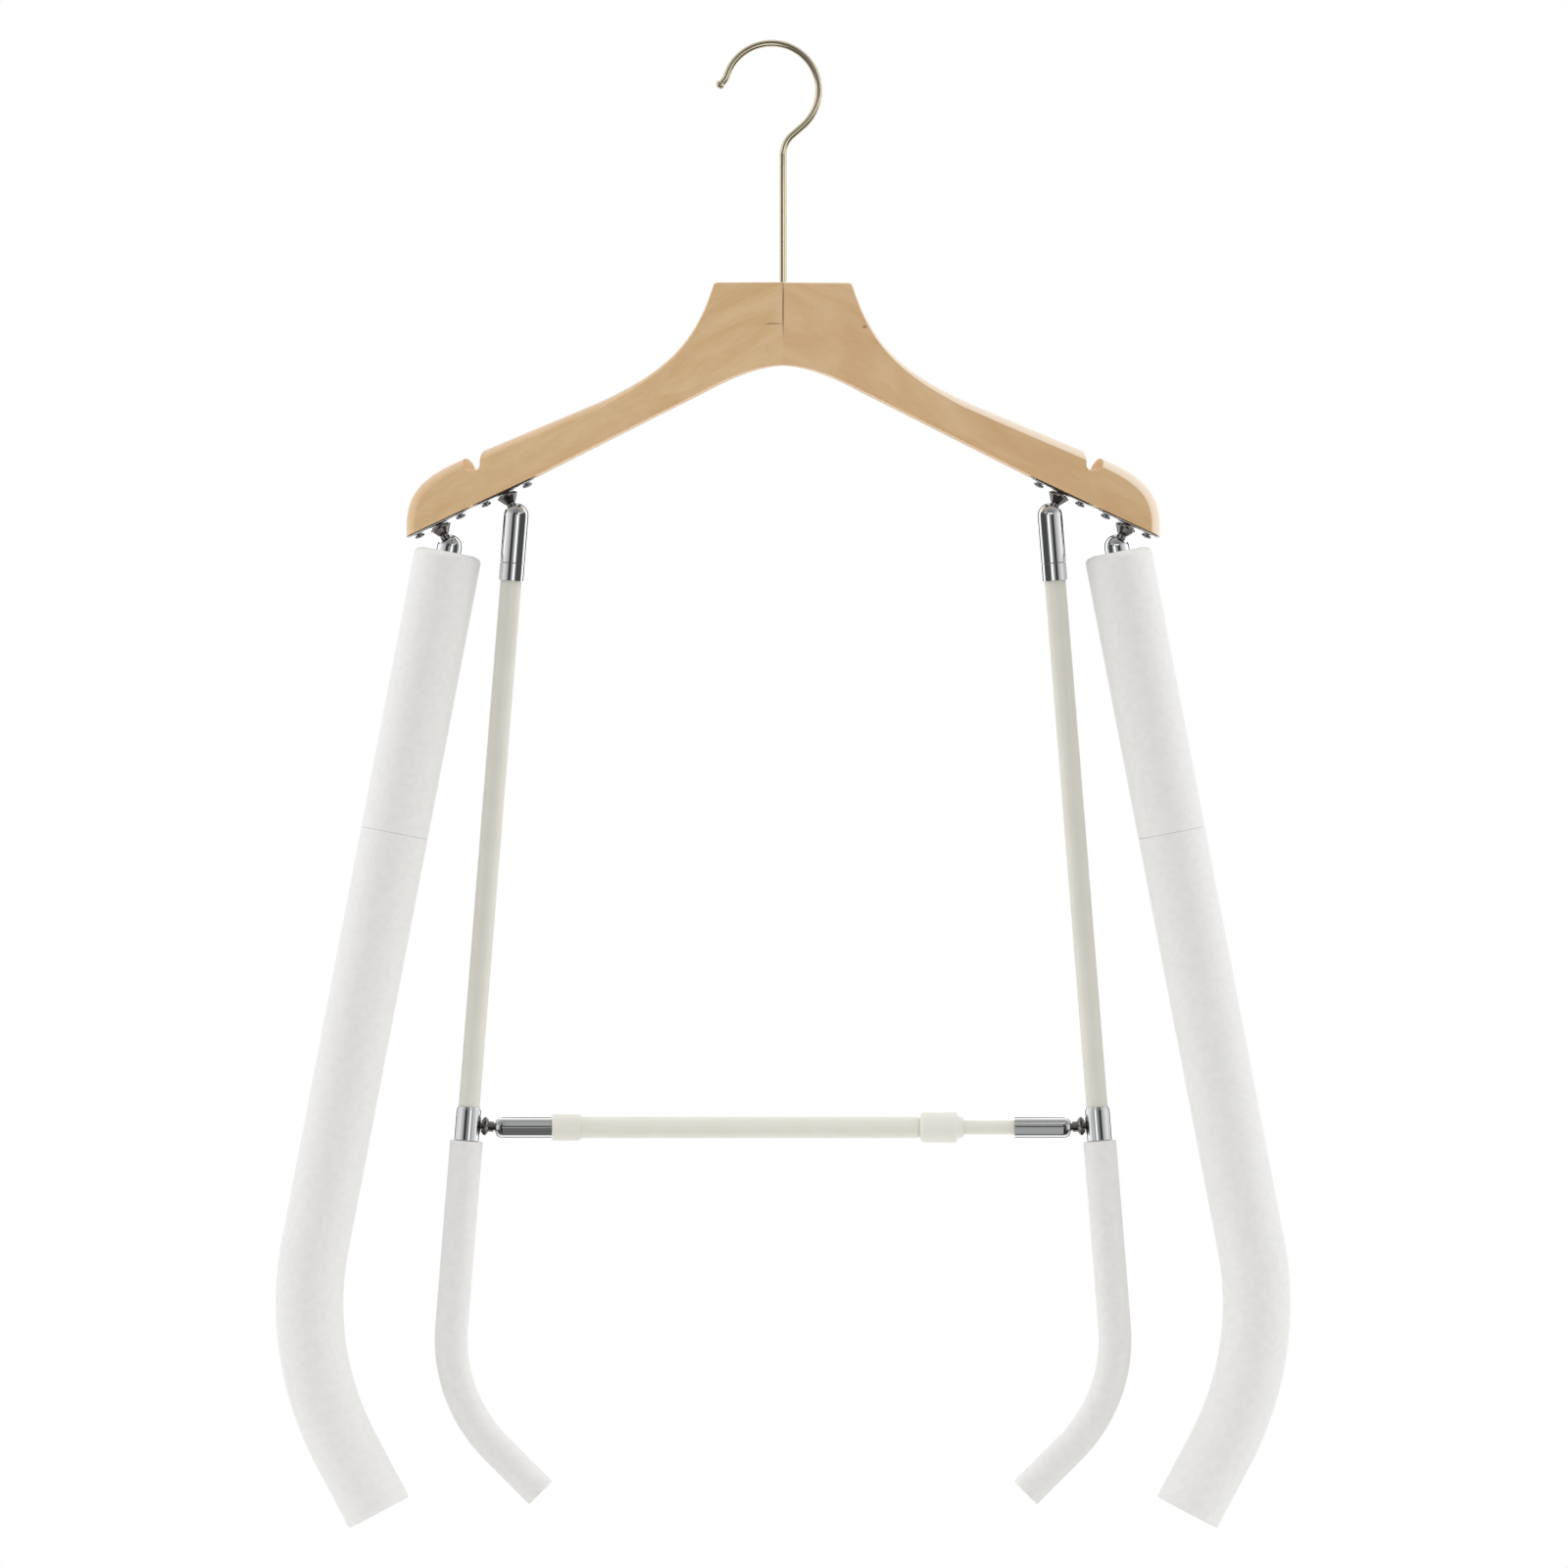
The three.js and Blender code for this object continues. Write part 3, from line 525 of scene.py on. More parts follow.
CHROME = Plated("polished_chrome_plate", "chrome")
SCREW = Plated("dark_plated_screw", "chrome", "#8f9092", roughness=(0.1, 0.18), mark=0.6, relief=0.01)
STEEL = Plated("turned_steel", "steel_pin", "#b9babc", roughness=(0.2, 0.34), mark=0.6, relief=0.05)
STUD = Plated("black_nickel_plate", "chrome", "#8d8886", roughness=(0.08, 0.14), mark=0.6)
NICKEL = Plated("satin_nickel_wire", "hook_wire", "#e0d6bb", roughness=(0.1, 0.15), relief=0.0)
BRASS = Plated("turned_brass", "bush_brass", "#cfae6a", roughness=(0.22, 0.36), mark=0.6, relief=0.05)
POWDER_COAT = Coated("ivory_powder_coat", "ivory_paint", "#e1dfd5", "#dedcd1", relief=0.02)
# painted light: the crossbar's tubes take a paler copy of the torso tubes' ivory powder coat
LIT_BAR_COAT = Coated("ivory_powder_coat_painted_lighter", "ivory_paint", "#ebeadf", "#e9e8dc", relief=0.015)
MOULD_GRAIN = {"roughness": (0.4, 0.5), "grain": 0.7, "relief": 0.012}
MOULDED = Coated("moulded_ivory_nylon", "ivory_plastic", "#eceae0", "#eae8dd", **MOULD_GRAIN)
LOCK = Coated("moulded_white_nylon", "ivory_plastic", "#efeee6", "#edece3", **MOULD_GRAIN)
NYLON = Coated("natural_nylon", "nylon", "#dcdacf", "#d3d1c5", roughness=(0.45, 0.6), grain=0.8, relief=0.08)
FOAM = Foam("white_closed_cell_foam", "foam")
# painted shade: the hip sleeves take a darker copy of the same white foam
SHADED_HIP_FOAM = Foam("hip_foam_with_painted_shade", "foam", "#edebe9", "#e9e7e5")
BEECH = {
    Side.LEFT: Beech(
        "lacquered_beech_left",
        "beech",
        grain_slope=27.0,
        # the second mark is painted shade along the mitre seam
        marks=((0.8, -153.5, 6.0, 0.5), (6.2, -144.0, 0.45, 19.0)),
    ),
    Side.RIGHT: Beech(
        "lacquered_beech_right",
        "beech",
        grain_slope=-27.0,
        light="#e3c296",
        middle="#deb98a",
        dark="#dab284",
        # painted highlight on this half's rounded edges, paler than on the left half
        edge="#f6debf",
        outer="#fae9d4",
        worn=(0.1, 0.3),
        band=21.0,
        # the second mark is painted shade along the mitre seam
        marks=((51.6, -155.2, 1.7, 1.0), (6.6, -144.0, 0.45, 19.0)),
    ),
}


# -------------------------------------------------- shapes


def only(kind: type, found: Iterable[Any]) -> list[Any]:
    """The vertices, edges or faces among what an operator found or made."""
    return [element for element in found if isinstance(element, kind)]


def arc(size: float | Point, first: float, last: float, steps: int, centre: Sequence[float] = (0, 0)) -> list[Point]:
    """Points of an arc, for a turned profile or an outline.

    Args:
        size: radius of the arc, or its reach across and its reach along where they differ.
        first: where it starts, in degrees from the top.
        last: where it ends.
        steps: number of chords.
        centre: radius and height of its centre.

    Returns:
        Radius and height of each point.
    """
    across, along = size if isinstance(size, tuple) else (size, size)
    angles = [math.radians(first + (last - first) * i / steps) for i in range(steps + 1)]
    return [(centre[0] + across * math.sin(a), centre[1] + along * math.cos(a)) for a in angles]


def turned(profile: Sequence[Point], sides: int = 64, closed: bool = False) -> Shape:
    """Turns a profile about +Z.

    Args:
        profile: radius and height of each point; a solid piece's profile starts and ends on the axis.
        sides: facets of a full turn.
        closed: whether the last point joins the first, as in a ring.

    Returns:
        The closed shape.
    """
    shape = bmesh.new()
    points = [shape.verts.new((radius, 0, height)) for radius, height in profile]
    pairs = zip(points, points[1:] + points[:1]) if closed else zip(points, points[1:])
    edges = [shape.edges.new(pair) for pair in pairs]
    bmesh.ops.spin(
        shape,
        geom=points + edges,
        cent=(0, 0, 0),
        axis=(0, 0, 1),
        angle=math.tau,
        steps=sides,
        use_merge=True,
        use_duplicate=False,
    )
    bmesh.ops.remove_doubles(shape, verts=shape.verts, dist=SAME)
    bmesh.ops.recalc_face_normals(shape, faces=shape.faces)
    return shape


def rod(radius: float, low: float, high: float, sides: int) -> Shape:
    """A plain round rod along +Z, to cut with."""
    return turned([(0, low), (radius, low), (radius, high), (0, high)], sides)


def block(size: Sequence[float], place: Matrix) -> Shape:
    """Makes a box to cut with.

    Args:
        size: its three sizes.
        place: matrix that sets its middle and its direction.

    Returns:
        The box.
    """
    shape = bmesh.new()
    bmesh.ops.create_cube(shape, size=1, matrix=place @ Matrix.Diagonal((*size, 1)))
    return shape


def bevel(shape: Shape, geom: Sequence[Edge] | Sequence[Vert], width: float, segments: int) -> None:
    """Rounds edges or corners of a shape.

    Args:
        shape: shape to change.
        geom: its edges or its corners.
        width: width of the rounding.
        segments: facets across it.
    """
    affect = "VERTICES" if only(Vert, geom) else "EDGES"
    bmesh.ops.bevel(
        shape, geom=geom, offset=width, segments=segments, profile=0.5, affect=affect, material=-1, clamp_overlap=True
    )


def soften(shape: Shape, width: float, segments: int = 3, angle: float = 35.0, above: float = -math.inf) -> Shape:
    """Rounds the crisp edges of a shape.

    Args:
        shape: shape to change.
        width: width of the rounding.
        segments: facets across it.
        angle: edges that turn by more than this many degrees are rounded.
        above: only edges above this height are rounded.

    Returns:
        The same shape.
    """
    shape.normal_update()
    crisp = [e for e in shape.edges if len(e.link_faces) == 2 and e.calc_face_angle(0) > math.radians(angle)]
    bevel(shape, [e for e in crisp if min(v.co.z for v in e.verts) > above], width, segments)
    return shape


def carved(shape: Shape, *cutters: Shape) -> Shape:
    """Cuts shapes out of a shape.

    Args:
        shape: shape to cut; it is used up.
        *cutters: closed shapes to take away; they are used up.

    Returns:
        What is left.
    """
    blanks = [add_object("carving", to_mesh("carving", part)) for part in (shape, *cutters)]
    base = blanks[0]
    for cutter in blanks[1:]:
        modifier = base.modifiers.new("cut", "BOOLEAN")
        modifier.operation = "DIFFERENCE"
        modifier.solver = "EXACT"
        modifier.object = cutter
    evaluated = base.evaluated_get(bpy.context.evaluated_depsgraph_get())
    result = bmesh.new()
    result.from_mesh(evaluated.to_mesh())
    evaluated.to_mesh_clear()
    for blank in blanks:
        mesh = blank.data
        bpy.data.objects.remove(blank)
        bpy.data.meshes.remove(mesh)
    if not result.faces:
        raise RuntimeError("the cut left nothing over")
    return result


def hull(*shapes: Shape) -> Shape:
    """Wraps shapes in their convex hull.

    Args:
        *shapes: shapes to wrap; they are used up.

    Returns:
        The hull.
    """
    both = bmesh.new()
    for part in shapes:
        for vert in part.verts:
            both.verts.new(vert.co)
        part.free()
    bmesh.ops.remove_doubles(both, verts=both.verts, dist=10 * SAME)
    bmesh.ops.convex_hull(both, input=both.verts)
    bmesh.ops.delete(both, geom=[v for v in both.verts if not v.link_faces], context="VERTS")
    bmesh.ops.recalc_face_normals(both, faces=both.faces)
    return both


class Sweep:
    """A round rod or tube that is drawn out along a path in the X-Z plane."""

    def __init__(self, start: Point, heading: float, radius: float, bore: float = 0.0, sides: int = 48) -> None:
        """Starts the sweep with its closed end.

        Args:
            start: X and Z of the start.
            heading: direction in degrees from +X towards +Z.
            radius: outside radius.
            bore: inside radius, or zero for a solid rod.
            sides: facets round it.
        """
        self.shape = bmesh.new()
        self.at = Vector((start[0], 0, start[1]))
        self.heading = math.radians(heading)
        self.radius = radius
        self.bore = bore
        pose = Matrix.Translation(self.at) @ Matrix.Rotation(math.pi / 2 - self.heading, 4, "Y")
        for size in (radius, bore) if bore else (radius,):
            bmesh.ops.create_circle(self.shape, segments=sides, radius=size, matrix=pose)
        self.ring = self.shape.edges[:]
        self.close()

    def close(self) -> None:
        """Closes the ring with a flat end."""
        if self.bore:
            bmesh.ops.bridge_loops(self.shape, edges=self.ring)
        else:
            bmesh.ops.edgeloop_fill(self.shape, edges=self.ring)

    def run(self, length: float, radius: float | None = None) -> Sweep:
        """Goes straight on.

        Args:
            length: length of the run.
            radius: outside radius at its end, for a solid rod that swells or narrows.

        Returns:
            This sweep.
        """
        made = bmesh.ops.extrude_edge_only(self.shape, edges=self.ring)["geom"]
        verts = only(Vert, made)
        self.ring = [edge for edge in only(Edge, made) if all(vert in verts for vert in edge.verts)]
        step = Vector((math.cos(self.heading), 0, math.sin(self.heading))) * length
        bmesh.ops.translate(self.shape, verts=verts, vec=step)
        self.at += step
        if radius is not None:
            factor = radius / self.radius
            bmesh.ops.scale(self.shape, verts=verts, vec=(factor,) * 3, space=Matrix.Translation(-self.at))
            self.radius = radius
        return self

    def bend(self, radius: float, degrees: float, steps: int) -> Sweep:
        """Turns, to the left for positive degrees and to the right for negative ones.

        Args:
            radius: radius of the bend's centre line.
            degrees: angle of the bend.
            steps: rings along it.

        Returns:
            This sweep.
        """
        left = Vector((-math.sin(self.heading), 0, math.cos(self.heading)))
        centre = self.at + left * math.copysign(radius, degrees)
        angle = math.radians(degrees)
        verts = dict.fromkeys(vert for edge in self.ring for vert in edge.verts)
        made = bmesh.ops.spin(
            self.shape,
            geom=[*verts, *self.ring],
            cent=centre,
            axis=(0, -1, 0),
            angle=angle,
            steps=steps,
            use_merge=False,
            use_duplicate=False,
        )["geom_last"]
        self.ring = only(Edge, made)
        self.at = centre + Matrix.Rotation(angle, 3, (0, -1, 0)) @ (self.at - centre)
        self.heading += angle
        return self

    def swell(self, height: float, width: float, rise: float) -> None:
        """Swells a flat end from its rims inwards, as knife-cut foam does.

        Args:
            height: height at which the end lies.
            width: from its rims in to its highest ring.
            rise: how far that ring rises.
        """
        bmesh.ops.recalc_face_normals(self.shape, faces=self.shape.faces)
        level = [f for f in self.shape.faces if abs(f.normal.z) > 0.99]
        ends = [f for f in level if abs(f.calc_center_median().z - height) < 0.01]
        bmesh.ops.inset_region(self.shape, faces=ends, thickness=width, depth=rise, use_boundary=True)

    def end(self, rounding: float = 0.0) -> Shape:
        """Closes the far end, rounds the rims, and returns the shape."""
        self.close()
        return soften(self.shape, rounding, segments=4) if rounding else self.shape


# -------------------------------------------------- hook


@dataclass
class Hook:
    """Wire hook with a bead on its tip and a headed shank in the wood."""

    wire: float = 2.0
    bend: float = 26.2
    tip_turn: float = 162.0
    heel_turn: float = 49.0
    neck_straight: float = 7.7
    neck_bend: float = 14.5
    flare: float = 9.0
    flare_turn: float = 28.0
    bead: float = 2.7
    bead_length: float = 4.4
    bead_end: float = 0.25
    bead_arc: Point = (145.0, 5.0)  # from where the bead leaves the wire to its end
    head: float = 3.0
    head_height: float = 1.2
    to_wood: float = 130.5
    shank_in_wood: float = 25.2

    @property
    def shank_x(self) -> float:
        """How far the shank stands to the right of the arc's centre."""
        sine, cosine = math.sin(math.radians(self.heel_turn)), math.cos(math.radians(self.heel_turn))
        return self.bend * cosine - self.neck_straight * sine - self.neck_bend * (1 - cosine)

    @property
    def shank_top(self) -> float:
        """Height at which the straight shank ends."""
        sine, cosine = math.sin(math.radians(self.heel_turn)), math.cos(math.radians(self.heel_turn))
        return self.wire - self.bend * (1 + sine) - (self.neck_straight * cosine + self.neck_bend * sine)

    @property
    def place(self) -> Matrix:
        """Matrix from the hanger's frame, at the wood's top on the shank's axis, to the model's."""
        return shift(self.shank_x, 0, -self.to_wood)

    def build(self, bench: Bench) -> None:
        """Draws the wire from the shank's head to the bead.

        Args:
            bench: where the pieces go.
        """
        foot = -self.to_wood - self.shank_in_wood
        wire = Sweep((self.shank_x, foot), 90, self.head, sides=32).run(self.head_height).run(0, self.wire)
        wire.run(self.shank_top - foot - self.head_height)
        wire.bend(self.neck_bend, -self.heel_turn, steps=14).run(self.neck_straight)
        wire.bend(self.bend, self.heel_turn + self.tip_turn, steps=72).bend(self.flare, -self.flare_turn, steps=8)
        bead = arc((self.bead, self.bead_length / 2), *self.bead_arc, steps=10)
        for (_, last), (radius, along) in zip(bead, bead[1:]):
            wire.run(along - last, max(radius, self.bead_end))
        bench.set_piece("wire_hook", wire.end(), Matrix.Identity(4), NICKEL, "hook", "hook", crease=50)
        bench.dress(BRASS, "hook_retainer", "hook_bush")


# -------------------------------------------------- wood


@dataclass
class Board:
    """One half of the wooden hanger, in its own frame: the wood's top on the mitre is the origin, out is -X."""

    hook: Hook
    length: float = 213.1
    height: float = 142.0
    thickness: float = 14.0
    sweep: float = 11.0
    slope: float = 24.6
    shoulder_run: float = 79.2
    tip_flat: float = 7.0  # along the underside next to the tip
    neck_corner: Point = (0.1775, 0.0)
    neck_rounding: float = 2.4
    neck_ease: float = 0.2  # how far the rounding's last handle stands on the way to the neck's curve
    neck_curve: tuple[Point, ...] = ((0.2271, 0.2444), (0.3126, 0.3498), (0.4819, 0.4636))
    shoulder_start: Point = (0.8524, 0.6897)
    shoulder_curve: tuple[Point, ...] = ((0.967, 0.7592), (1.0, 0.8332), (1.0, 0.9502))
    tip: Point = (1.0, 0.9915)
    arch_start: Point = (0.2149, 0.4291)
    arch_curve: tuple[Point, ...] = ((0.1758, 0.3987), (0.082, 0.3245), (0.0, 0.3245))
    notch_place: float = 0.856
    notch_radius: float = 3.6
    notch_depth: float = 10.8
    notch_floor: float = 2.4
    notch_slope: float = 66.0
    notch_skew: float = 14.0  # degrees that the saw stood off square to the board
    overrun: float = 4.0
    bore: Triple = (2.3, -6.0, 4.0)  # radius, lower and upper end of the shank's hole
    under_rim: float = 0.25  # the eased lower edges
    rim_depth: float = 6.3  # most that the rounded top edges reach over the thickness
    rim_aspect: float = 1.3  # their depth for their width
    rim_widths: tuple[Point, ...] = ((0.0, 0.6), (0.19, 0.9), (0.3, 1.9), (0.5, 3.8), (0.85, 4.6), (1.0, 5.6))
    # share of the length outwards, and width of the rounded edge there
    rim_steps: int = 7
    rim_turn: float = 58.0  # degrees that the rounded edge turns before it meets the face in a crisp line
    glue_line: float = -0.01  # from the mitre's plane to each half, which the glue fills
    corner_steps: int = 8  # points along the neck's rounded corner, and chords of the outline's other parts
    curve_steps: int = 30
    wing_steps: int = 6
    arch_steps: int = 24

    def place(self, side: Side) -> Matrix:
        """Matrix from the left half's hanger frame to the model's, mirrored for the right half."""
        return self.hook.place @ side.mirror

    def point(self, shares: Point) -> Vector:
        """A point of the outline, from its shares of the length outwards and of the height downwards."""
        return Vector((-shares[0] * self.length, -shares[1] * self.height))

    def curve(self, start: Vector, handles: Sequence[Point], steps: int) -> list[Vector]:
        """Points of one curve of the outline, without its first."""
        ends = [self.point(shares).to_3d() for shares in handles]
        return [p.to_2d() for p in geometry.interpolate_bezier(start.to_3d(), *ends, steps + 1)][1:]

    def under(self, distance: float) -> Vector:
        """A point of the straight underside, at a distance from the tip."""
        slope = math.radians(self.slope)
        return self.point(self.tip) + Vector((math.cos(slope), math.sin(slope))) * distance

    def rim(self, x: float) -> float:
        """Looks up the rounded top edge.

        Args:
            x: place along the board.

        Returns:
            The rounding's width there.
        """
        share = -x / self.length
        for (a, low), (b, high) in zip(self.rim_widths, self.rim_widths[1:]):
            if share <= b:
                return low + (high - low) * max(0.0, share - a) / (b - a)
        return self.rim_widths[-1][1]

    def outline(self) -> tuple[list[Vector], list[float]]:
        """Draws the board's outline.

        Returns:
            The corners in turn, as seen from the front, and for each corner the width of the rounded edge after it.
        """
        corner = self.point(self.neck_corner)
        neck = self.curve(corner, self.neck_curve, self.curve_steps)
        cut = next(i for i, p in enumerate(neck) if (p - corner).length > self.neck_rounding)
        first = corner + Vector((self.neck_rounding, 0))
        handles = (first, corner, corner.lerp(neck[cut], self.neck_ease), neck[cut])
        bow = geometry.interpolate_bezier(*(p.to_3d() for p in handles), self.corner_steps)
        top = [Vector((self.overrun, 0)), *(p.to_2d() for p in bow), *neck[cut + 1 :]]
        shoulder = self.point(self.shoulder_start)
        top += [top[-1].lerp(shoulder, (i + 1) / self.wing_steps) for i in range(self.wing_steps)]
        top += self.curve(shoulder, self.shoulder_curve, self.curve_steps)
        arch = self.point(self.arch_start)
        under = [self.point(self.tip), self.under(self.tip_flat), self.under(self.shoulder_run), arch]
        under += self.curve(arch, self.arch_curve, self.arch_steps)
        under.append(Vector((self.overrun, under[-1].y)))
        return top + under, [self.rim(p.x) for p in top] + [self.under_rim] * len(under)

    @staticmethod
    def inset(outline: Sequence[Vector], widths: Sequence[float], share: float) -> list[Vector]:
        """Moves an outline's corners inwards so that its edges keep their slope.

        Args:
            outline: the corners.
            widths: for each corner, how far the edge after it goes at most.
            share: how much of that it goes now.

        Returns:
            The moved corners.
        """
        moved = []
        for i, here in enumerate(outline):
            before, after = outline[i - 1], outline[(i + 1) % len(outline)]
            one, two = (here - before).normalized(), (after - here).normalized()
            one, two = Vector((-one.y, one.x)), Vector((-two.y, two.x))
            a, b = widths[i - 1] * share, widths[i] * share
            cross = one.x * two.y - one.y * two.x
            if abs(cross) < 0.25:  # nearly straight on, where the crossing point would be vague
                moved.append(here + (one + two).normalized() * (a + b) / 2)
            else:
                moved.append(here + Vector(((a * two.y - b * one.y) / cross, (b * one.x - a * two.x) / cross)))
        return moved

    @staticmethod
    def loft(rings: Sequence[Sequence[Triple]]) -> Shape:
        """Draws a flat face out through rings of as many corners and closes it at the last.

        Args:
            rings: the corners of each ring, in the same turn.

        Returns:
            The solid. Its two end faces are marked to shade flat.
        """
        shape = bmesh.new()
        front = shape.faces.new([shape.verts.new(co) for co in rings[0]])
        front.material_index = FLAT
        ring, index = list(front.edges), {vert: i for i, vert in enumerate(front.verts)}
        for level in rings[1:]:
            made = bmesh.ops.extrude_edge_only(shape, edges=ring)["geom"]
            follow = {}
            for vert in only(Vert, made):
                partner = next(e.other_vert(vert) for e in vert.link_edges if e.other_vert(vert) in index)
                follow[vert] = index[partner]
                vert.co = level[index[partner]]
            ring = [edge for edge in only(Edge, made) if all(vert in follow for vert in edge.verts)]
            index = follow
        for back in bmesh.ops.edgeloop_fill(shape, edges=ring)["faces"]:
            back.material_index = FLAT
        bmesh.ops.recalc_face_normals(shape, faces=shape.faces)
        return shape

    def notch_cutter(self) -> Shape:
        """Shapes the notch for a garment's loop.

        Returns:
            A block to cut away, square to the board.
        """
        lip = self.point(self.neck_curve[2]).lerp(self.point(self.shoulder_start), self.notch_place)
        centre = Vector((lip.x - self.notch_radius, lip.y - self.notch_depth + self.notch_radius))
        outer = centre - Vector((self.notch_floor, 0))
        climb = self.notch_depth + self.overrun
        corners = [(lip.x, lip.y + self.overrun), (lip.x, centre.y)]
        corners += arc(self.notch_radius, 90, 180, steps=8, centre=centre)[1:]
        corners += arc(self.notch_radius, 180, 180 + self.notch_slope, steps=8, centre=outer)
        x, z = corners[-1]
        corners.append((x - climb / math.tan(math.radians(self.notch_slope)), z + climb))
        shape = bmesh.new()
        reach = self.thickness
        face = shape.faces.new([shape.verts.new((x, -reach, z)) for x, z in corners])
        made = bmesh.ops.extrude_face_region(shape, geom=[face])["geom"]
        bmesh.ops.translate(shape, verts=only(Vert, made), vec=(0, 2 * reach, 0))
        bmesh.ops.recalc_face_normals(shape, faces=shape.faces)
        return shape

    def blank(self) -> Shape:
        """Draws the outline out to its thickness, with rounded top edges.

        Returns:
            The board before it is swept forward and mitred.
        """
        outline, widths = self.outline()
        deep = [min(self.rim_depth, self.rim_aspect * max(widths[i - 1], width)) for i, width in enumerate(widths)]
        full = math.radians(self.rim_turn)
        angles = [full * i / self.rim_steps for i in range(self.rim_steps + 1)]
        levels = [((1 - math.cos(a)) / (1 - math.cos(full)), 1 - math.sin(a) / math.sin(full)) for a in angles]
        half = self.thickness / 2
        rings = [
            [(p.x, sign * (half - d * drop), p.y) for p, d in zip(self.inset(outline, widths, share), deep)]
            for sign, order in ((-1, reversed(levels)), (1, levels))
            for share, drop in order
        ]
        return self.loft(rings)

    @staticmethod
    def mark_rim(shape: Shape, facing: Vector) -> None:
        """Writes how far each face turns away from the board's face, as a share of square, for the painted highlight
        on the rounded edges.

        Args:
            shape: the board; the values go into its face attribute "rim".
            facing: direction in which the board's face looks.
        """
        rim = shape.faces.layers.float.new("rim")
        shape.normal_update()
        for face in shape.faces:
            turned_away = math.acos(min(1.0, abs(face.normal.dot(facing)))) / (math.pi / 2)
            looks_down, is_mitre = face.normal.z < -0.05, abs(face.normal.x) > 0.999
            face[rim] = 0.0 if looks_down or is_mitre else turned_away

    def build(self, bench: Bench, side: Side) -> None:
        """Sweeps the board forward, mitres it, cuts the notch and bores the shank's hole.

        Args:
            bench: where the pieces go.
            side: which half it is.
        """
        shape = self.blank()
        forward = turn(-self.sweep, "Z")
        shape.transform(forward)
        cut = bmesh.ops.bisect_plane(
            shape,
            geom=[*shape.verts, *shape.edges, *shape.faces],
            plane_co=(-self.glue_line, 0, 0),
            plane_no=(1, 0, 0),
            clear_outer=True,
        )["geom_cut"]
        bmesh.ops.edgeloop_fill(shape, edges=only(Edge, cut))
        bmesh.ops.recalc_face_normals(shape, faces=shape.faces)
        self.mark_rim(shape, forward @ Vector((0, 1, 0)))
        skew = Matrix.Identity(4)
        skew[0][1] = math.tan(math.radians(self.notch_skew))
        notch = self.notch_cutter()
        notch.transform(forward @ shift(self.thickness / 2 * skew[0][1], 0, 0) @ skew)
        shape = carved(shape, notch, rod(*self.bore, sides=32))
        word = side.value
        bench.set_piece(
            f"beech_half_{word}", shape, self.place(side), BEECH[side], "hanger", f"wood_{word}", crease=28
        )


# -------------------------------------------------- brackets and ball joints


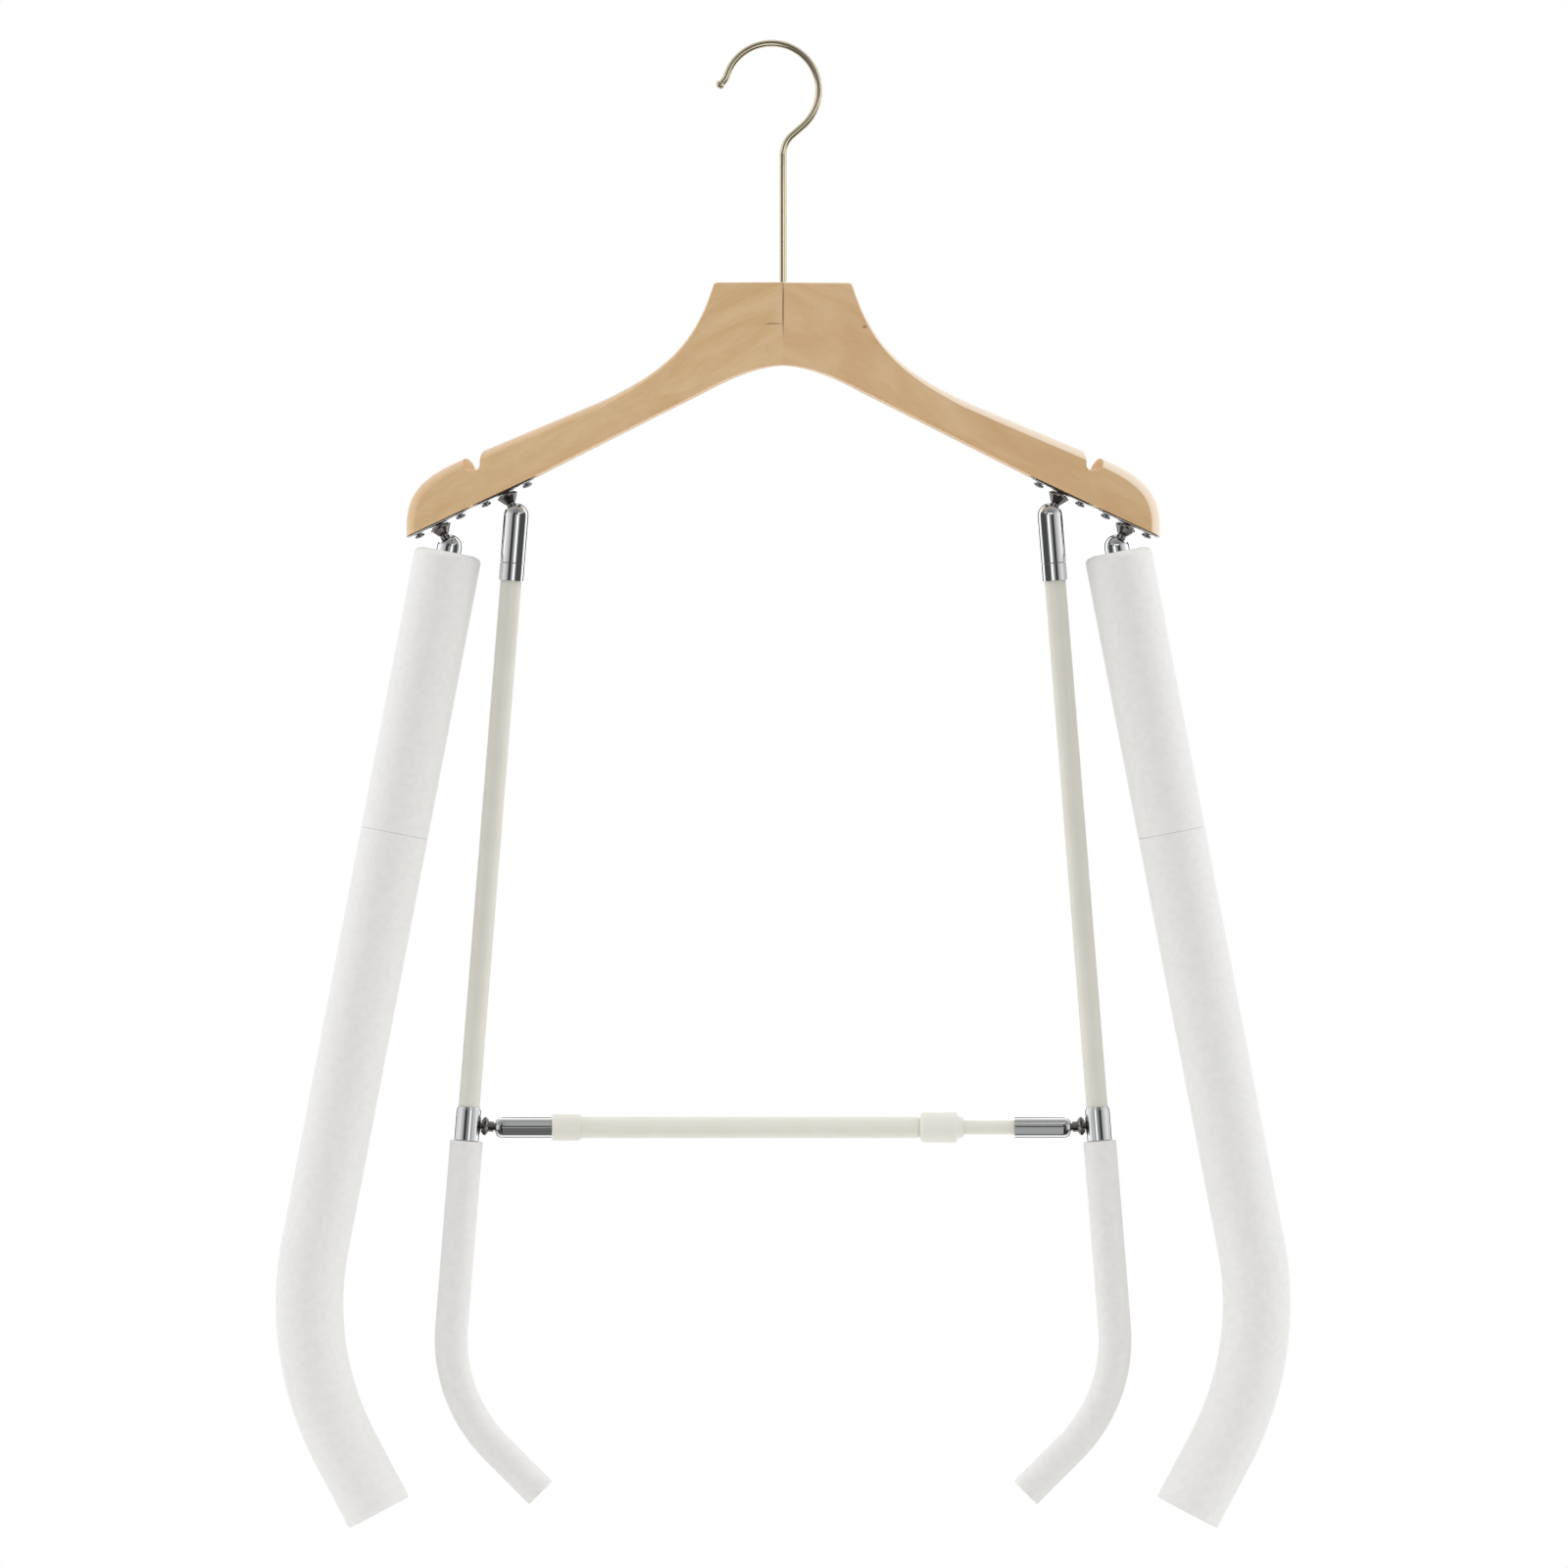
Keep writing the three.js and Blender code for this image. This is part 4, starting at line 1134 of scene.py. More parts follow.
@dataclass
class Bracket:
    """A mounting plate under the wood with its two screws and its ball stud."""

    role: Role
    seat: float  # from the wood's tip along the underside to the stud
    board: Board
    plate_length: float = 38.5
    plate_width: float = 11.0
    plate: float = 1.2
    corner: float = 3.0
    rolled: float = 2.2  # how far in from its rim the plate's underside curves
    screw_spacing: float = 25.6
    screw_head: float = 2.8
    screw_height: float = 1.7
    screw_edge: float = 1.1
    screw_shank: float = 1.5
    screw_length: float = 12.0
    screw_turns: Point = (20.0, -35.0)  # of the outer and the inner screw's recess, as they were driven in
    recess: float = 2.9  # across the cross recess
    recess_width: float = 0.75
    recess_depth: float = 0.62  # share of the head's height
    reach: float = 15.0
    tail: float = 2.2
    washer: Point = (5.0, 0.9)
    flange: Point = (6.0, 1.1)
    cone: Point = (3.6, 5.6)  # height of the cone under the flange, and its radius there
    fillet: Point = (0.5, 0.15)  # from the throat out to the cone's foot, across and along
    throat: float = 2.6
    ball: float = 5.3
    rounding: float = 0.18  # of the stud's edges

    @property
    def ball_centre(self) -> Vector:
        """Gives the centre of the ball.

        Returns:
            The point in the hanger's frame, on the left.
        """
        slope = math.radians(self.board.slope)
        seat = self.board.under(self.seat)
        centre = Vector((seat.x + self.reach * math.sin(slope), 0, seat.y - self.reach * math.cos(slope)))
        return turn(-self.board.sweep, "Z") @ centre

    def plate_shape(self) -> Shape:
        """Shapes the plate, with its rim rolled up to the wood.

        Returns:
            The plate, hanging under the origin.
        """
        shape = bmesh.new()
        bmesh.ops.create_grid(shape, x_segments=1, y_segments=1, size=0.5)
        bmesh.ops.scale(shape, verts=shape.verts, vec=(self.plate_length, self.plate_width, 1))
        bmesh.ops.translate(shape, verts=shape.verts, vec=(0, 0, -GAP))
        bevel(shape, shape.verts[:], self.corner, segments=8)
        low = only(Face, bmesh.ops.extrude_face_region(shape, geom=shape.faces[:])["geom"])
        roll = arc((self.rolled, self.plate), -90, 0, steps=7, centre=(self.rolled, 0))
        for (last_in, last_down), (inward, down) in zip(roll, roll[1:]):
            if last_in:
                bmesh.ops.inset_region(shape, faces=low, thickness=inward - last_in, use_boundary=True)
            verts = list(dict.fromkeys(vert for face in low for vert in face.verts))
            bmesh.ops.translate(shape, verts=verts, vec=(0, 0, last_down - down))
        return shape

    def screw_shape(self) -> Shape:
        """Shapes a pan-head screw with a cross recess.

        Returns:
            The screw, with its head under the plate.
        """
        top = -2 * GAP - self.plate
        bottom = top - self.screw_height
        dome = self.screw_height - self.screw_edge
        profile = arc((self.screw_head, dome), 180, 90, steps=8, centre=(0, bottom + dome))
        profile += [(self.screw_head, top), (self.screw_shank, top)]
        profile += [(self.screw_shank, self.screw_length - self.screw_shank), (0, self.screw_length)]
        size = (self.recess, self.recess_width, 2 * self.recess_depth * self.screw_height)
        bars = [block(size, turn(angle, "Z") @ shift(0, 0, bottom)) for angle in (0, 90)]
        return carved(turned(profile, sides=32), *bars)

    def stud_shape(self) -> Shape:
        """Shapes the ball stud.

        Returns:
            The stud, with its ball's centre at the origin.
        """
        washer_top = self.reach - 2 * GAP - self.plate
        washer_bottom = washer_top - self.washer[1]
        flange_bottom = washer_bottom - self.flange[1]
        tail_top = washer_top + GAP + self.plate
        foot = flange_bottom - self.cone[0]
        leave = math.degrees(math.asin(self.throat / self.ball))
        profile = arc(self.ball, 180, leave, steps=24)
        profile += [(self.throat, foot - self.fillet[1]), (self.throat + self.fillet[0], foot)]
        profile += [(self.cone[1], flange_bottom), (self.flange[0], flange_bottom), (self.flange[0], washer_bottom)]
        profile += [(self.washer[0], washer_bottom), (self.washer[0], washer_top), (self.tail, washer_top)]
        profile += [(self.tail, tail_top), (0, tail_top)]
        return soften(turned(profile), self.rounding, segments=2, angle=50)

    def build(self, bench: Bench, side: Side) -> None:
        """Makes the plate, its screws and its stud on the hanger.

        Args:
            bench: where the pieces go.
            side: which half they are on.
        """
        board = self.board
        seat = board.under(self.seat)
        place = board.place(side) @ turn(-board.sweep, "Z") @ shift(seat.x, 0, seat.y) @ turn(-board.slope, "Y")
        end = f"{self.role.value}_{{}}_{side.value}"
        half = self.screw_spacing / 2
        outer, inner = (shift(x, 0, 0) @ turn(angle, "Z") for x, angle in zip((-half, half), self.screw_turns))
        for name, shape, at, finish, node in (
            ("mounting_plate", self.plate_shape(), Matrix.Identity(4), CHROME, "plate"),
            ("pan_screw_outer", self.screw_shape(), outer, SCREW, "screw_outer"),
            ("pan_screw_inner", self.screw_shape(), inner, SCREW, "screw_inner"),
            ("stud", self.stud_shape(), shift(0, 0, -self.reach), STUD, "ball_stud"),
        ):
            bench.set_piece(end.format(name), shape, place @ at, finish, "hanger", end.format(node))


@dataclass
class BallJoint:
    """The slotted cap round a stud's ball, and the ferrule below it."""

    bracket: Bracket
    lean: float  # degrees that the cap leans outwards
    swing: Point  # travel about the X axis that the slot is cut for
    tilt: Point
    radius: float = 7.35
    length: float = 26.4
    ferrule: float = 9.6
    bore: float = 6.35
    cup_wall: float = 0.7
    slot_clearance: float = 0.4
    slot_reach: float = 12.0  # from the ball's centre, well past the dome
    rounding: float = 0.15
    slot_steps: int = 4  # of the travel, over which the slot is swept

    def place(self, side: Side) -> Matrix:
        """Matrix from the ball's frame, with the cap's axis along Z, to the model's."""
        centre = Matrix.Translation(self.bracket.ball_centre)
        return self.bracket.board.place(side) @ centre @ turn(self.lean, "Y")

    def slot_cutter(self) -> Shape:
        """Shapes the room that the stud's neck needs in the cap's dome, over its travel.

        Returns:
            The shape to cut away.
        """
        board = self.bracket.board
        slope = math.radians(board.slope)
        axis = turn(-board.sweep, "Z") @ Vector((-math.sin(slope), 0, math.cos(slope)))
        stand = Vector((0, 0, 1)).rotation_difference(axis).to_matrix().to_4x4()
        first, last = self.swing
        necks = []
        for i in range(self.slot_steps + 1):
            swing = first + (last - first) * i / self.slot_steps
            for tilt in self.tilt:
                neck = rod(self.bracket.throat + self.slot_clearance, 0, self.slot_reach, sides=24)
                neck.transform(turn(-self.lean - tilt, "Y") @ turn(-swing, "X") @ stand)
                necks.append(neck)
        return hull(*necks)

    def build(self, bench: Bench, side: Side) -> None:
        """Makes the cap and the ferrule.

        Args:
            bench: where the pieces go.
            side: which half they are on.
        """
        pocket = self.bracket.ball + GAP
        bore = pocket + self.cup_wall + GAP
        profile = arc(pocket, 0, 90, steps=16) + [(bore, 0), (bore, -self.length), (self.radius, -self.length)]
        profile += arc(self.radius, 90, 0, steps=24)
        cap = soften(turned(profile, sides=72), self.rounding, segments=2, angle=60)
        cap = carved(cap, self.slot_cutter())
        top = -self.length - GAP
        low = top - self.ferrule
        ring = [(self.bore, low), (self.radius, low), (self.radius, top), (self.bore, top)]
        ring = soften(turned(ring, sides=72, closed=True), self.rounding, segments=2)
        role = self.bracket.role
        end = f"{role.value}_{{}}_{side.value}"
        for name, shape, node in (("domed_cap", cap, "ball_cap"), ("end_ring", ring, "ferrule")):
            body = f"{role.body}_{side.value}"
            bench.set_piece(end.format(name), shape, self.place(side), CHROME, body, end.format(node))


# -------------------------------------------------- torso frame


@dataclass
class TorsoBar:
    """A torso tube with its ball cap, waist collar, crossbar stud and hip foam."""

    joint: BallJoint
    tube: float = 6.0
    wall: float = 1.2
    top: float = 4.6
    waist: float = 339.9
    collar: float = 7.3
    collar_length: float = 17.5
    collar_neck: Point = (6.8, 1.1)  # radius and length of the thinner ring on the collar's top
    hip_straight: float = 113.0
    hip_bend: float = 85.0
    hip_turn: float = 49.5
    hip_end: float = 35.3
    foam: float = 9.1
    foam_inset: float = 3.0
    disc: Point = (5.0, 3.0)
    disc_rim: Point = (0.5, 1.5)  # from the disc's face to the two edges of its knurled rim
    disc_hub: Point = (3.6, 3.4)  # radius of the lens-shaped disc's middle, at its face and at its back
    hub_rise: Point = (0.9, 1.1)  # from the disc's face out to the hub's edge and to the neck
    stud_neck: float = 3.0
    knurls: int = 30
    knurl_depth: float = 0.4
    stud_throat: float = 2.1
    stud_shoulder: Point = (4.1, 4.3)  # from the ball's centre to the throat's end and to the neck's start
    stud_ball: float = 4.1
    stud_tail: float = 2.0
    ball_reach: float = 18.7
    rounding: float = 0.25  # of the tube's and the collar's edges
    foam_rounding: float = 0.5

    @property
    def waist_height(self) -> float:
        """Height of the waist along the tube, from the ball's centre."""
        lean = math.radians(self.joint.lean)
        return -(self.waist - self.ball_reach * math.sin(lean)) / math.cos(lean)

    def hip(self, sweep: Sweep, start: float, short: float) -> Sweep:
        """Takes a sweep from a height down round the hip, and stops a little short of its end."""
        sweep.run(start - self.waist_height + self.hip_straight)
        return sweep.bend(self.hip_bend, self.hip_turn, steps=20).run(self.hip_end - short)

    def stud_shape(self) -> Shape:
        """Shapes the crossbar's stud, with its knurled disc.

        Returns:
            The stud, with the tube's axis at the origin and its ball along +X.
        """
        base = self.ball_reach - self.collar - GAP
        tail = self.ball_reach - self.tube - GAP
        face = base - self.disc[1]
        disc, (rim_start, rim_end), (hub, hub_back) = self.disc[0], self.disc_rim, self.disc_hub
        throat_end, neck_start = self.stud_shoulder
        leave = math.degrees(math.asin(self.stud_throat / self.stud_ball))
        profile = arc(self.stud_ball, 180, leave, steps=20)
        profile += [(self.stud_throat, throat_end), (self.stud_neck, neck_start)]
        profile += [(self.stud_neck, face - self.hub_rise[1]), (hub, face - self.hub_rise[0])]
        profile += [(disc, face + rim_start), (disc, face + rim_end), (hub_back, base)]
        profile += [(self.stud_tail, base), (self.stud_tail, tail), (0, tail)]
        shape = turned(profile, sides=2 * self.knurls)
        for vert in shape.verts:
            step = round(math.atan2(vert.co.y, vert.co.x) / math.pi * self.knurls)
            if step % 2 and abs(Vector(vert.co.xy).length - disc) < 0.01:
                vert.co.xy = vert.co.xy * (1 - self.knurl_depth / disc)
        shape.transform(shift(self.ball_reach, 0, 0) @ turn(-90, "Y"))
        return shape

    def build(self, bench: Bench, side: Side) -> None:
        """Makes one torso bar.

        Args:
            bench: where the pieces go.
            side: which half it is on.
        """
        word = side.value
        body = f"torso_bar_{word}"
        place = self.joint.place(side)
        self.joint.build(bench, side)
        tube = Sweep((0, -self.top), -90, self.tube, self.tube - self.wall)
        shape = self.hip(tube, -self.top, self.foam_inset).end(self.rounding)
        bench.set_piece(f"torso_pipe_{word}", shape, place, POWDER_COAT, body, f"torso_tube_{word}")
        half = self.collar_length / 2
        bore = self.tube + PLAY
        foam_top = self.waist_height - half - GAP
        shape = self.hip(Sweep((0, foam_top), -90, self.foam, bore), foam_top, 0).end(self.foam_rounding)
        # the hip sleeve takes the foam's darker copy, which is painted shade
        bench.set_piece(f"hip_sleeve_{word}", shape, place, SHADED_HIP_FOAM, body, f"hip_foam_{word}", crease=60)
        waist = place @ shift(0, 0, self.waist_height)
        neck, rise = self.collar_neck
        ring = [(bore, -half), (self.collar, -half), (self.collar, half), (neck, half), (neck, half + rise)]
        shape = soften(turned([*ring, (bore, half + rise)], closed=True), self.rounding)
        bench.set_piece(f"waist_ring_{word}", shape, waist, CHROME, body, f"waist_collar_{word}")
        bench.set_piece(f"waist_stud_{word}", self.stud_shape(), waist, STUD, body, f"crossbar_stud_{word}")


@dataclass
class Crossbar:
    """The telescopic bar between the two waist collars, turned about +X."""

    torso: TorsoBar
    ball: float = 4.1
    barrel: float = 6.1
    barrel_length: float = 28.0
    nose: float = 3.4
    nose_rounding: Point = (2.6, 4.4)  # across and along the bar
    barrel_rounding: float = 0.12
    mouth: float = 3.4
    slot_width: float = 5.6
    slot_length: float = 7.0
    slot_start: float = 0.2  # from the bar's axis
    slot_overrun: float = 2.0  # past the nose
    slot_rounding: float = 1.6
    spigot: float = 12.0
    spigot_wall: float = 1.2
    end_cap: float = 7.35
    end_cap_length: float = 15.8
    end_cap_bevel: Point = (0.6, 1.1)  # across and along the bar
    end_cap_rounding: float = 0.2
    outer: float = 6.0
    outer_wall: float = 1.0
    outer_grip: float = 13.0
    groove: Point = (0.6, 1.2)  # depth and width of the groove beside the lock
    groove_slopes: Point = (0.2, 0.1)  # how much of its width each of its sides takes up
    inner: float = 3.9
    inner_wall: float = 0.8
    inner_visible: float = 28.3
    inner_hidden: float = 110.0
    inner_grip: float = 16.0
    inner_rounding: float = 0.2
    lock: float = 8.5
    lock_length: float = 20.7
    lock_rounding: float = 2.0
    lock_edge: float = 0.25  # rounding of its other edges
    nozzle: Point = (6.4, 5.2)
    nozzle_length: float = 3.3

    @property
    def centre(self) -> Vector:
        """Gives the centre of the left end's ball.

        Returns:
            The point in the hanger's frame.
        """
        torso = self.torso
        lean = math.radians(torso.joint.lean)
        top = torso.joint.bracket.ball_centre
        out = torso.waist_height * math.sin(lean) + torso.ball_reach * math.cos(lean)
        return Vector((top.x + out, top.y, top.z - torso.waist))

    def barrel_shape(self, tail: float, tail_radius: float, bore: float) -> Shape:
        """Shapes a barrel.

        Args:
            tail: length of its spigot, or zero for none.
            tail_radius: outside radius at its end.
            bore: inside radius.

        Returns:
            The barrel, with its ball's centre at the origin and its mouth above.
        """
        pocket = self.ball + GAP
        leave = math.degrees(math.asin(self.mouth / pocket))
        across, along = self.nose_rounding
        low = -self.barrel_length
        profile = [(bore, low - tail), (tail_radius, low - tail)]
        if tail:
            profile += [(tail_radius, low), (self.barrel, low)]
        profile += arc(self.nose_rounding, 90, 0, steps=12, centre=(self.barrel - across, self.nose - along))
        profile += [(self.mouth, self.nose), *arc(pocket, leave, 90, steps=10), (pocket, -pocket), (bore, -pocket)]
        barrel = soften(turned(profile, closed=True), self.barrel_rounding, segments=2, angle=60)
        size = (2 * (self.barrel - self.slot_start), self.slot_width, self.slot_length)
        slot = block(size, shift(self.barrel, 0, self.nose + self.slot_overrun - self.slot_length / 2))
        lengthwise = [e for e in slot.edges if abs(e.verts[0].co.x - e.verts[1].co.x) > 1]
        bevel(slot, [e for e in lengthwise if e.verts[0].co.z < 0], self.slot_rounding, segments=6)
        return carved(barrel, slot)

    def build(self, bench: Bench) -> None:
        """Makes the bar's six pieces that show.

        Args:
            bench: where the pieces go.
        """
        start = self.centre
        level = self.torso.joint.bracket.board.hook.place @ shift(0, start.y, start.z)
        along = level @ turn(90, "Y")
        ball_x = abs(start.x)
        barrel_end = ball_x - self.barrel_length
        nozzle_end = barrel_end - self.inner_visible
        lock_end = nozzle_end - self.nozzle_length
        lock_start = lock_end - self.lock_length

        bore = self.outer + PLAY
        spigot = self.outer - self.outer_wall - PLAY
        left = level @ shift(-ball_x, 0, 0) @ turn(-90, "Y")
        shape = self.barrel_shape(self.spigot, spigot, spigot - self.spigot_wall)
        bench.set_piece("cross_barrel_left", shape, left, CHROME, "crossbar_outer", "crossbar_barrel_left")
        right = level @ shift(ball_x, 0, 0) @ turn(90, "Y") @ turn(180, "Z")
        shape = self.barrel_shape(0, self.barrel, self.inner + PLAY)
        bench.set_piece("cross_barrel_right", shape, right, CHROME, "crossbar_inner", "crossbar_barrel_right")

        cap_start = -barrel_end + GAP
        lip = cap_start + self.end_cap_length
        inward, back = self.end_cap_bevel
        ring = [(bore, cap_start), (self.end_cap, cap_start), (self.end_cap, lip - back), (self.end_cap - inward, lip)]
        shape = soften(turned([*ring, (bore, lip)], closed=True), self.end_cap_rounding)
        bench.set_piece("cross_end_sleeve", shape, along, MOULDED, "crossbar_outer", "crossbar_end_cap")

        wall = self.outer - self.outer_wall
        near, far = cap_start + GAP, lock_start + self.outer_grip
        depth, width = self.groove
        floor = self.outer - depth
        ring = [(wall, near), (self.outer, near), (self.outer, lock_start - width)]
        ring += [(floor, lock_start - width + self.groove_slopes[0]), (floor, lock_start - self.groove_slopes[1])]
        shape = turned([*ring, (self.outer, lock_start), (self.outer, far), (wall, far)], closed=True)
        bench.set_piece("cross_outer_pipe", shape, along, LIT_BAR_COAT, "crossbar_outer", "crossbar_outer_tube")
        first = nozzle_end - self.inner_hidden
        tube = Sweep((0, first), 90, self.inner, self.inner - self.inner_wall, sides=40)
        shape = tube.run(barrel_end + self.inner_grip - first).end(self.inner_rounding)
        bench.set_piece("cross_inner_pipe", shape, along, LIT_BAR_COAT, "crossbar_inner", "crossbar_inner_tube")

        mouth = self.inner + GAP
        edge = self.lock - self.lock_rounding
        profile = [(bore, lock_start)]
        profile += arc(self.lock_rounding, 180, 90, steps=8, centre=(edge, lock_start + self.lock_rounding))
        profile += arc(self.lock_rounding, 90, 0, steps=8, centre=(edge, lock_end - self.lock_rounding))
        profile += [(self.nozzle[0], lock_end), (self.nozzle[1], nozzle_end), (mouth, nozzle_end)]
        profile += [(mouth, far + GAP), (bore, far + GAP)]
        shape = soften(turned(profile, sides=72, closed=True), self.lock_edge, angle=30)
        bench.set_piece("cross_twist_lock", shape, along, LOCK, "crossbar_lock", "crossbar_lock_collar")


# -------------------------------------------------- arms


@dataclass
class Arm:
    """A foam arm: upper sleeve and forearm sleeve on core tubes that meet at the elbow."""

    joint: BallJoint
    foam: float = 18.8
    foam_drop: float = 4.0
    elbow: float = 161.9
    elbow_gap: float = 1.2
    forearm: float = 232.7
    bend: float = 172.4
    turn: float = 38.7
    end: float = 40.1
    tube: float = 6.0
    wall: float = 1.2
    tube_top: float = 4.6
    foam_inset: float = 3.0
    swelling: float = 5.0  # from the rim of the upper sleeve's top in to its highest ring
    top_rise: float = 1.2
    top_rounding: float = 2.6
    cut_rounding: float = 0.35  # of the sleeves' rims at the elbow
    tube_rounding: float = 0.25
    end_rounding: float = 0.5
    seam_closes: float = 0.57  # that each sleeve's soft end reaches over the elbow's gap

    def build(self, bench: Bench, side: Side) -> None:
        """Makes one arm.

        Args:
            bench: where the pieces go.
            side: which half it is on.
        """
        word = side.value
        upper, lower = f"upper_arm_{word}", f"forearm_{word}"
        place = self.joint.place(side)
        self.joint.build(bench, side)
        seam = self.elbow_gap / 2 - self.seam_closes
        bottom = -self.elbow + seam
        bore = self.tube - self.wall
        skin = Sweep((0, -self.foam_drop), -90, self.foam, self.joint.radius + GAP, sides=72)
        skin.run(-self.foam_drop - bottom).end()
        skin.swell(-self.foam_drop, self.swelling, self.top_rise)
        shape = soften(skin.shape, self.top_rounding, segments=6, angle=60, above=bottom / 2)
        shape = soften(shape, self.cut_rounding, angle=60)
        bench.set_piece(f"upper_sleeve_{word}", shape, place, FOAM, upper, f"upper_arm_foam_{word}", crease=60)
        shape = Sweep((0, -self.tube_top), -90, self.tube, bore, sides=32).run(-self.tube_top - bottom).end()
        bench.set_piece(f"upper_core_{word}", shape, place, POWDER_COAT, upper, f"upper_arm_tube_{word}")
        for name, radius, inside, short, finish, node, rounding in (
            ("forearm_sleeve", self.foam, self.tube + PLAY, 0.0, FOAM, "forearm_foam", self.cut_rounding),
            ("forearm_core", self.tube, bore, self.foam_inset, POWDER_COAT, "forearm_tube", self.tube_rounding),
        ):
            sweep = Sweep((0, -self.elbow - seam), -90, radius, inside, sides=72)
            sweep.run(self.forearm + self.seam_closes).bend(self.bend, self.turn, steps=24)
            sweep.run(self.end - short).end()
            shape = soften(sweep.shape, rounding, angle=60, above=-self.elbow - self.swelling)
            shape = soften(shape, self.end_rounding, angle=60)
            bench.set_piece(f"{name}_{word}", shape, place, finish, lower, f"{node}_{word}", crease=60)


# -------------------------------------------------- studio and camera


@dataclass
class Studio:
    """White background, soft daylight from the sides and the back, a pale floor, and a long lens in front."""

    distance: float = 12.0  # from the camera to the object
    depth: float = 0.02  # how far the object's middle lies behind the wood's front
    view: float = 0.8704  # across the picture at the object
    sensor: float = 36.0  # millimetres
    centre: Point = (0.0069, -0.4085)
    floor_drop: float = 0.16  # from the object down to the floor
    floor_radius: float = 1.1
    floor_whole: float = 0.55  # share of the floor's radius over which it fades in from its rim
    floor: str = "#f3f3f2"
    room: Stops = (
        (0.0, "#a4a4a4"),
        (0.25, "#a4a4a4"),
        (0.35, "#c6c6c6"),
        (0.45, "#fbfbfb"),
        (0.55, "#f5f5f5"),
        (0.65, "#bbbbbb"),
        (0.8, "#929292"),
        (1.0, "#777777"),
    )  # grey of the surroundings from behind the object, round its sides, to behind the camera
    mirrored: Stops = (
        (0.0, "#dcdcdc"),
        (0.115, "#dcdcdc"),
        (0.13, "#141414"),
        (0.24, "#141414"),
        (0.255, "#d2d2d2"),
        (0.45, "#d0d0d0"),
        (0.65, "#b1b1b1"),
        (0.8, "#9d9d9d"),
        (0.912, "#7e7e7e"),
        (0.945, "#2a2a2a"),
        (0.99, "#2a2a2a"),
        (0.998, "#6f6f6f"),
    )  # the same, as polished metal shows it, with the dark gaps beside the backdrop and beside the camera
    storeys: Stops = ((0.275, "#5e5e5e"), (0.425, "#ffffff"), (0.625, "#ffffff"), (0.8, "#b3b3b3"))
    # share of the mirrored light from straight below up to straight above, in front of the object
    storeys_from: Point = (0.2, -0.05)  # Y of the directions between which they come in
    level: float = 2.02
    softbox: Triple = (0.3, 0.8, 1.3)  # width, height and radiance
    softbox_place: Triple = (0.0069, -0.7, -0.52)  # clear of an arm that swings to the front
    screens: tuple[tuple[Triple, Triple, float], ...] = (
        ((-0.077, -0.45, -0.36), (0.091, -0.45, -0.2), 1.3),
        ((-0.077, -0.45, -0.66), (0.091, -0.45, -0.56), 1.15),
        ((-0.02, -0.45, -0.17), (0.35, -0.45, -0.05), 1.2),
        ((0.0069, -0.19, -0.35), (0.0069, 0.03, -0.2), 0.08),
        ((-0.12, -0.126, -0.15), (-0.12, -0.034, -0.045), 0.06),
        ((-0.1, -0.8, -1.2), (0.6, -0.12, -1.2), 0.03),
        ((-0.16, -0.14, -1.19), (-0.115, -0.14, -0.62), 0.15),
        ((0.13, -0.14, -1.19), (0.175, -0.14, -0.62), 0.42),
        ((-0.16, -0.45, -0.44), (-0.115, -0.45, 0.2), 0.44),
        ((0.13, -0.45, -0.44), (0.175, -0.45, 0.2), 0.4),
    )  # two corners and the radiance of each pale or dark screen that only the metal mirrors

    def hang_softbox(self) -> None:
        """Hangs a tall softbox in front, between the arms, which lights them from their inner side."""
        data = bpy.data.lights.new("front_softbox", "AREA")
        data.shape = "RECTANGLE"
        data.size, data.size_y, radiance = self.softbox
        data.energy = radiance * math.pi * data.size * data.size_y
        lamp = add_object("front_softbox", data)
        lamp.location = self.softbox_place
        lamp.rotation_euler = (math.pi / 2, 0, 0)
        lamp.visible_camera = lamp.visible_glossy = False

    def hang_screen(self, name: str, low: Vector, high: Vector, radiance: float) -> None:
        """Hangs an upright or a level screen that only shows in polished metal.

        Args:
            name: its name.
            low: its lowest corner.
            high: the corner opposite.
            radiance: how bright it is.
        """
        across = Vector((high.x - low.x, 0 if low.z == high.z else high.y - low.y, 0))
        shape = bmesh.new()
        shape.faces.new([shape.verts.new(co) for co in (low, low + across, high, high - across)])
        mesh = to_mesh(name, shape)
        mesh.materials.append(bpy.data.materials.new(name))
        add = adder(mesh.materials[0])
        add("OutputMaterial", {0: add("Emission", {"Strength": radiance})})
        screen = add_object(name, mesh)
        screen.visible_camera = screen.visible_diffuse = screen.visible_shadow = screen.visible_transmission = False
        screen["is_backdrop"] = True

    def light(self) -> None:
        """Lights the scene from all round, less from the camera's side, and shows white to the camera."""
        world = bpy.data.worlds.new("soft_studio")
        bpy.context.scene.world = world
        add = adder(world)
        direction = add("TexCoord").outputs["Generated"]
        _, y, z = add("SeparateXYZ", {0: direction}).outputs
        front = add("MapRange", {0: y, "From Min": 1.0, "From Max": -1.0})
        soft = add("ValToRGB", {0: front}, self.room)
        round_about = add("ValToRGB", {0: front}, self.mirrored)
        height = add("MapRange", {0: z, "From Min": -1.0, "From Max": 1.0})
        storey = add("ValToRGB", {0: height}, self.storeys)
        start, full = self.storeys_from
        before = add("MapRange", {0: y, "From Min": start, "From Max": full})
        sharp = add("Mix", {"Factor": before, A: round_about, B: storey}, data_type="RGBA", blend_type="MULTIPLY")
        path = add("LightPath").outputs
        seen = add("Mix", {"Factor": path["Is Glossy Ray"], A: soft, B: sharp}, data_type="RGBA")
        room = add("Background", {"Color": seen, "Strength": self.level})
        white = add("Background", {"Color": (1, 1, 1, 1), "Strength": 1.0})
        add("OutputWorld", {0: add("MixShader", {0: path["Is Camera Ray"], 1: room, 2: white})})

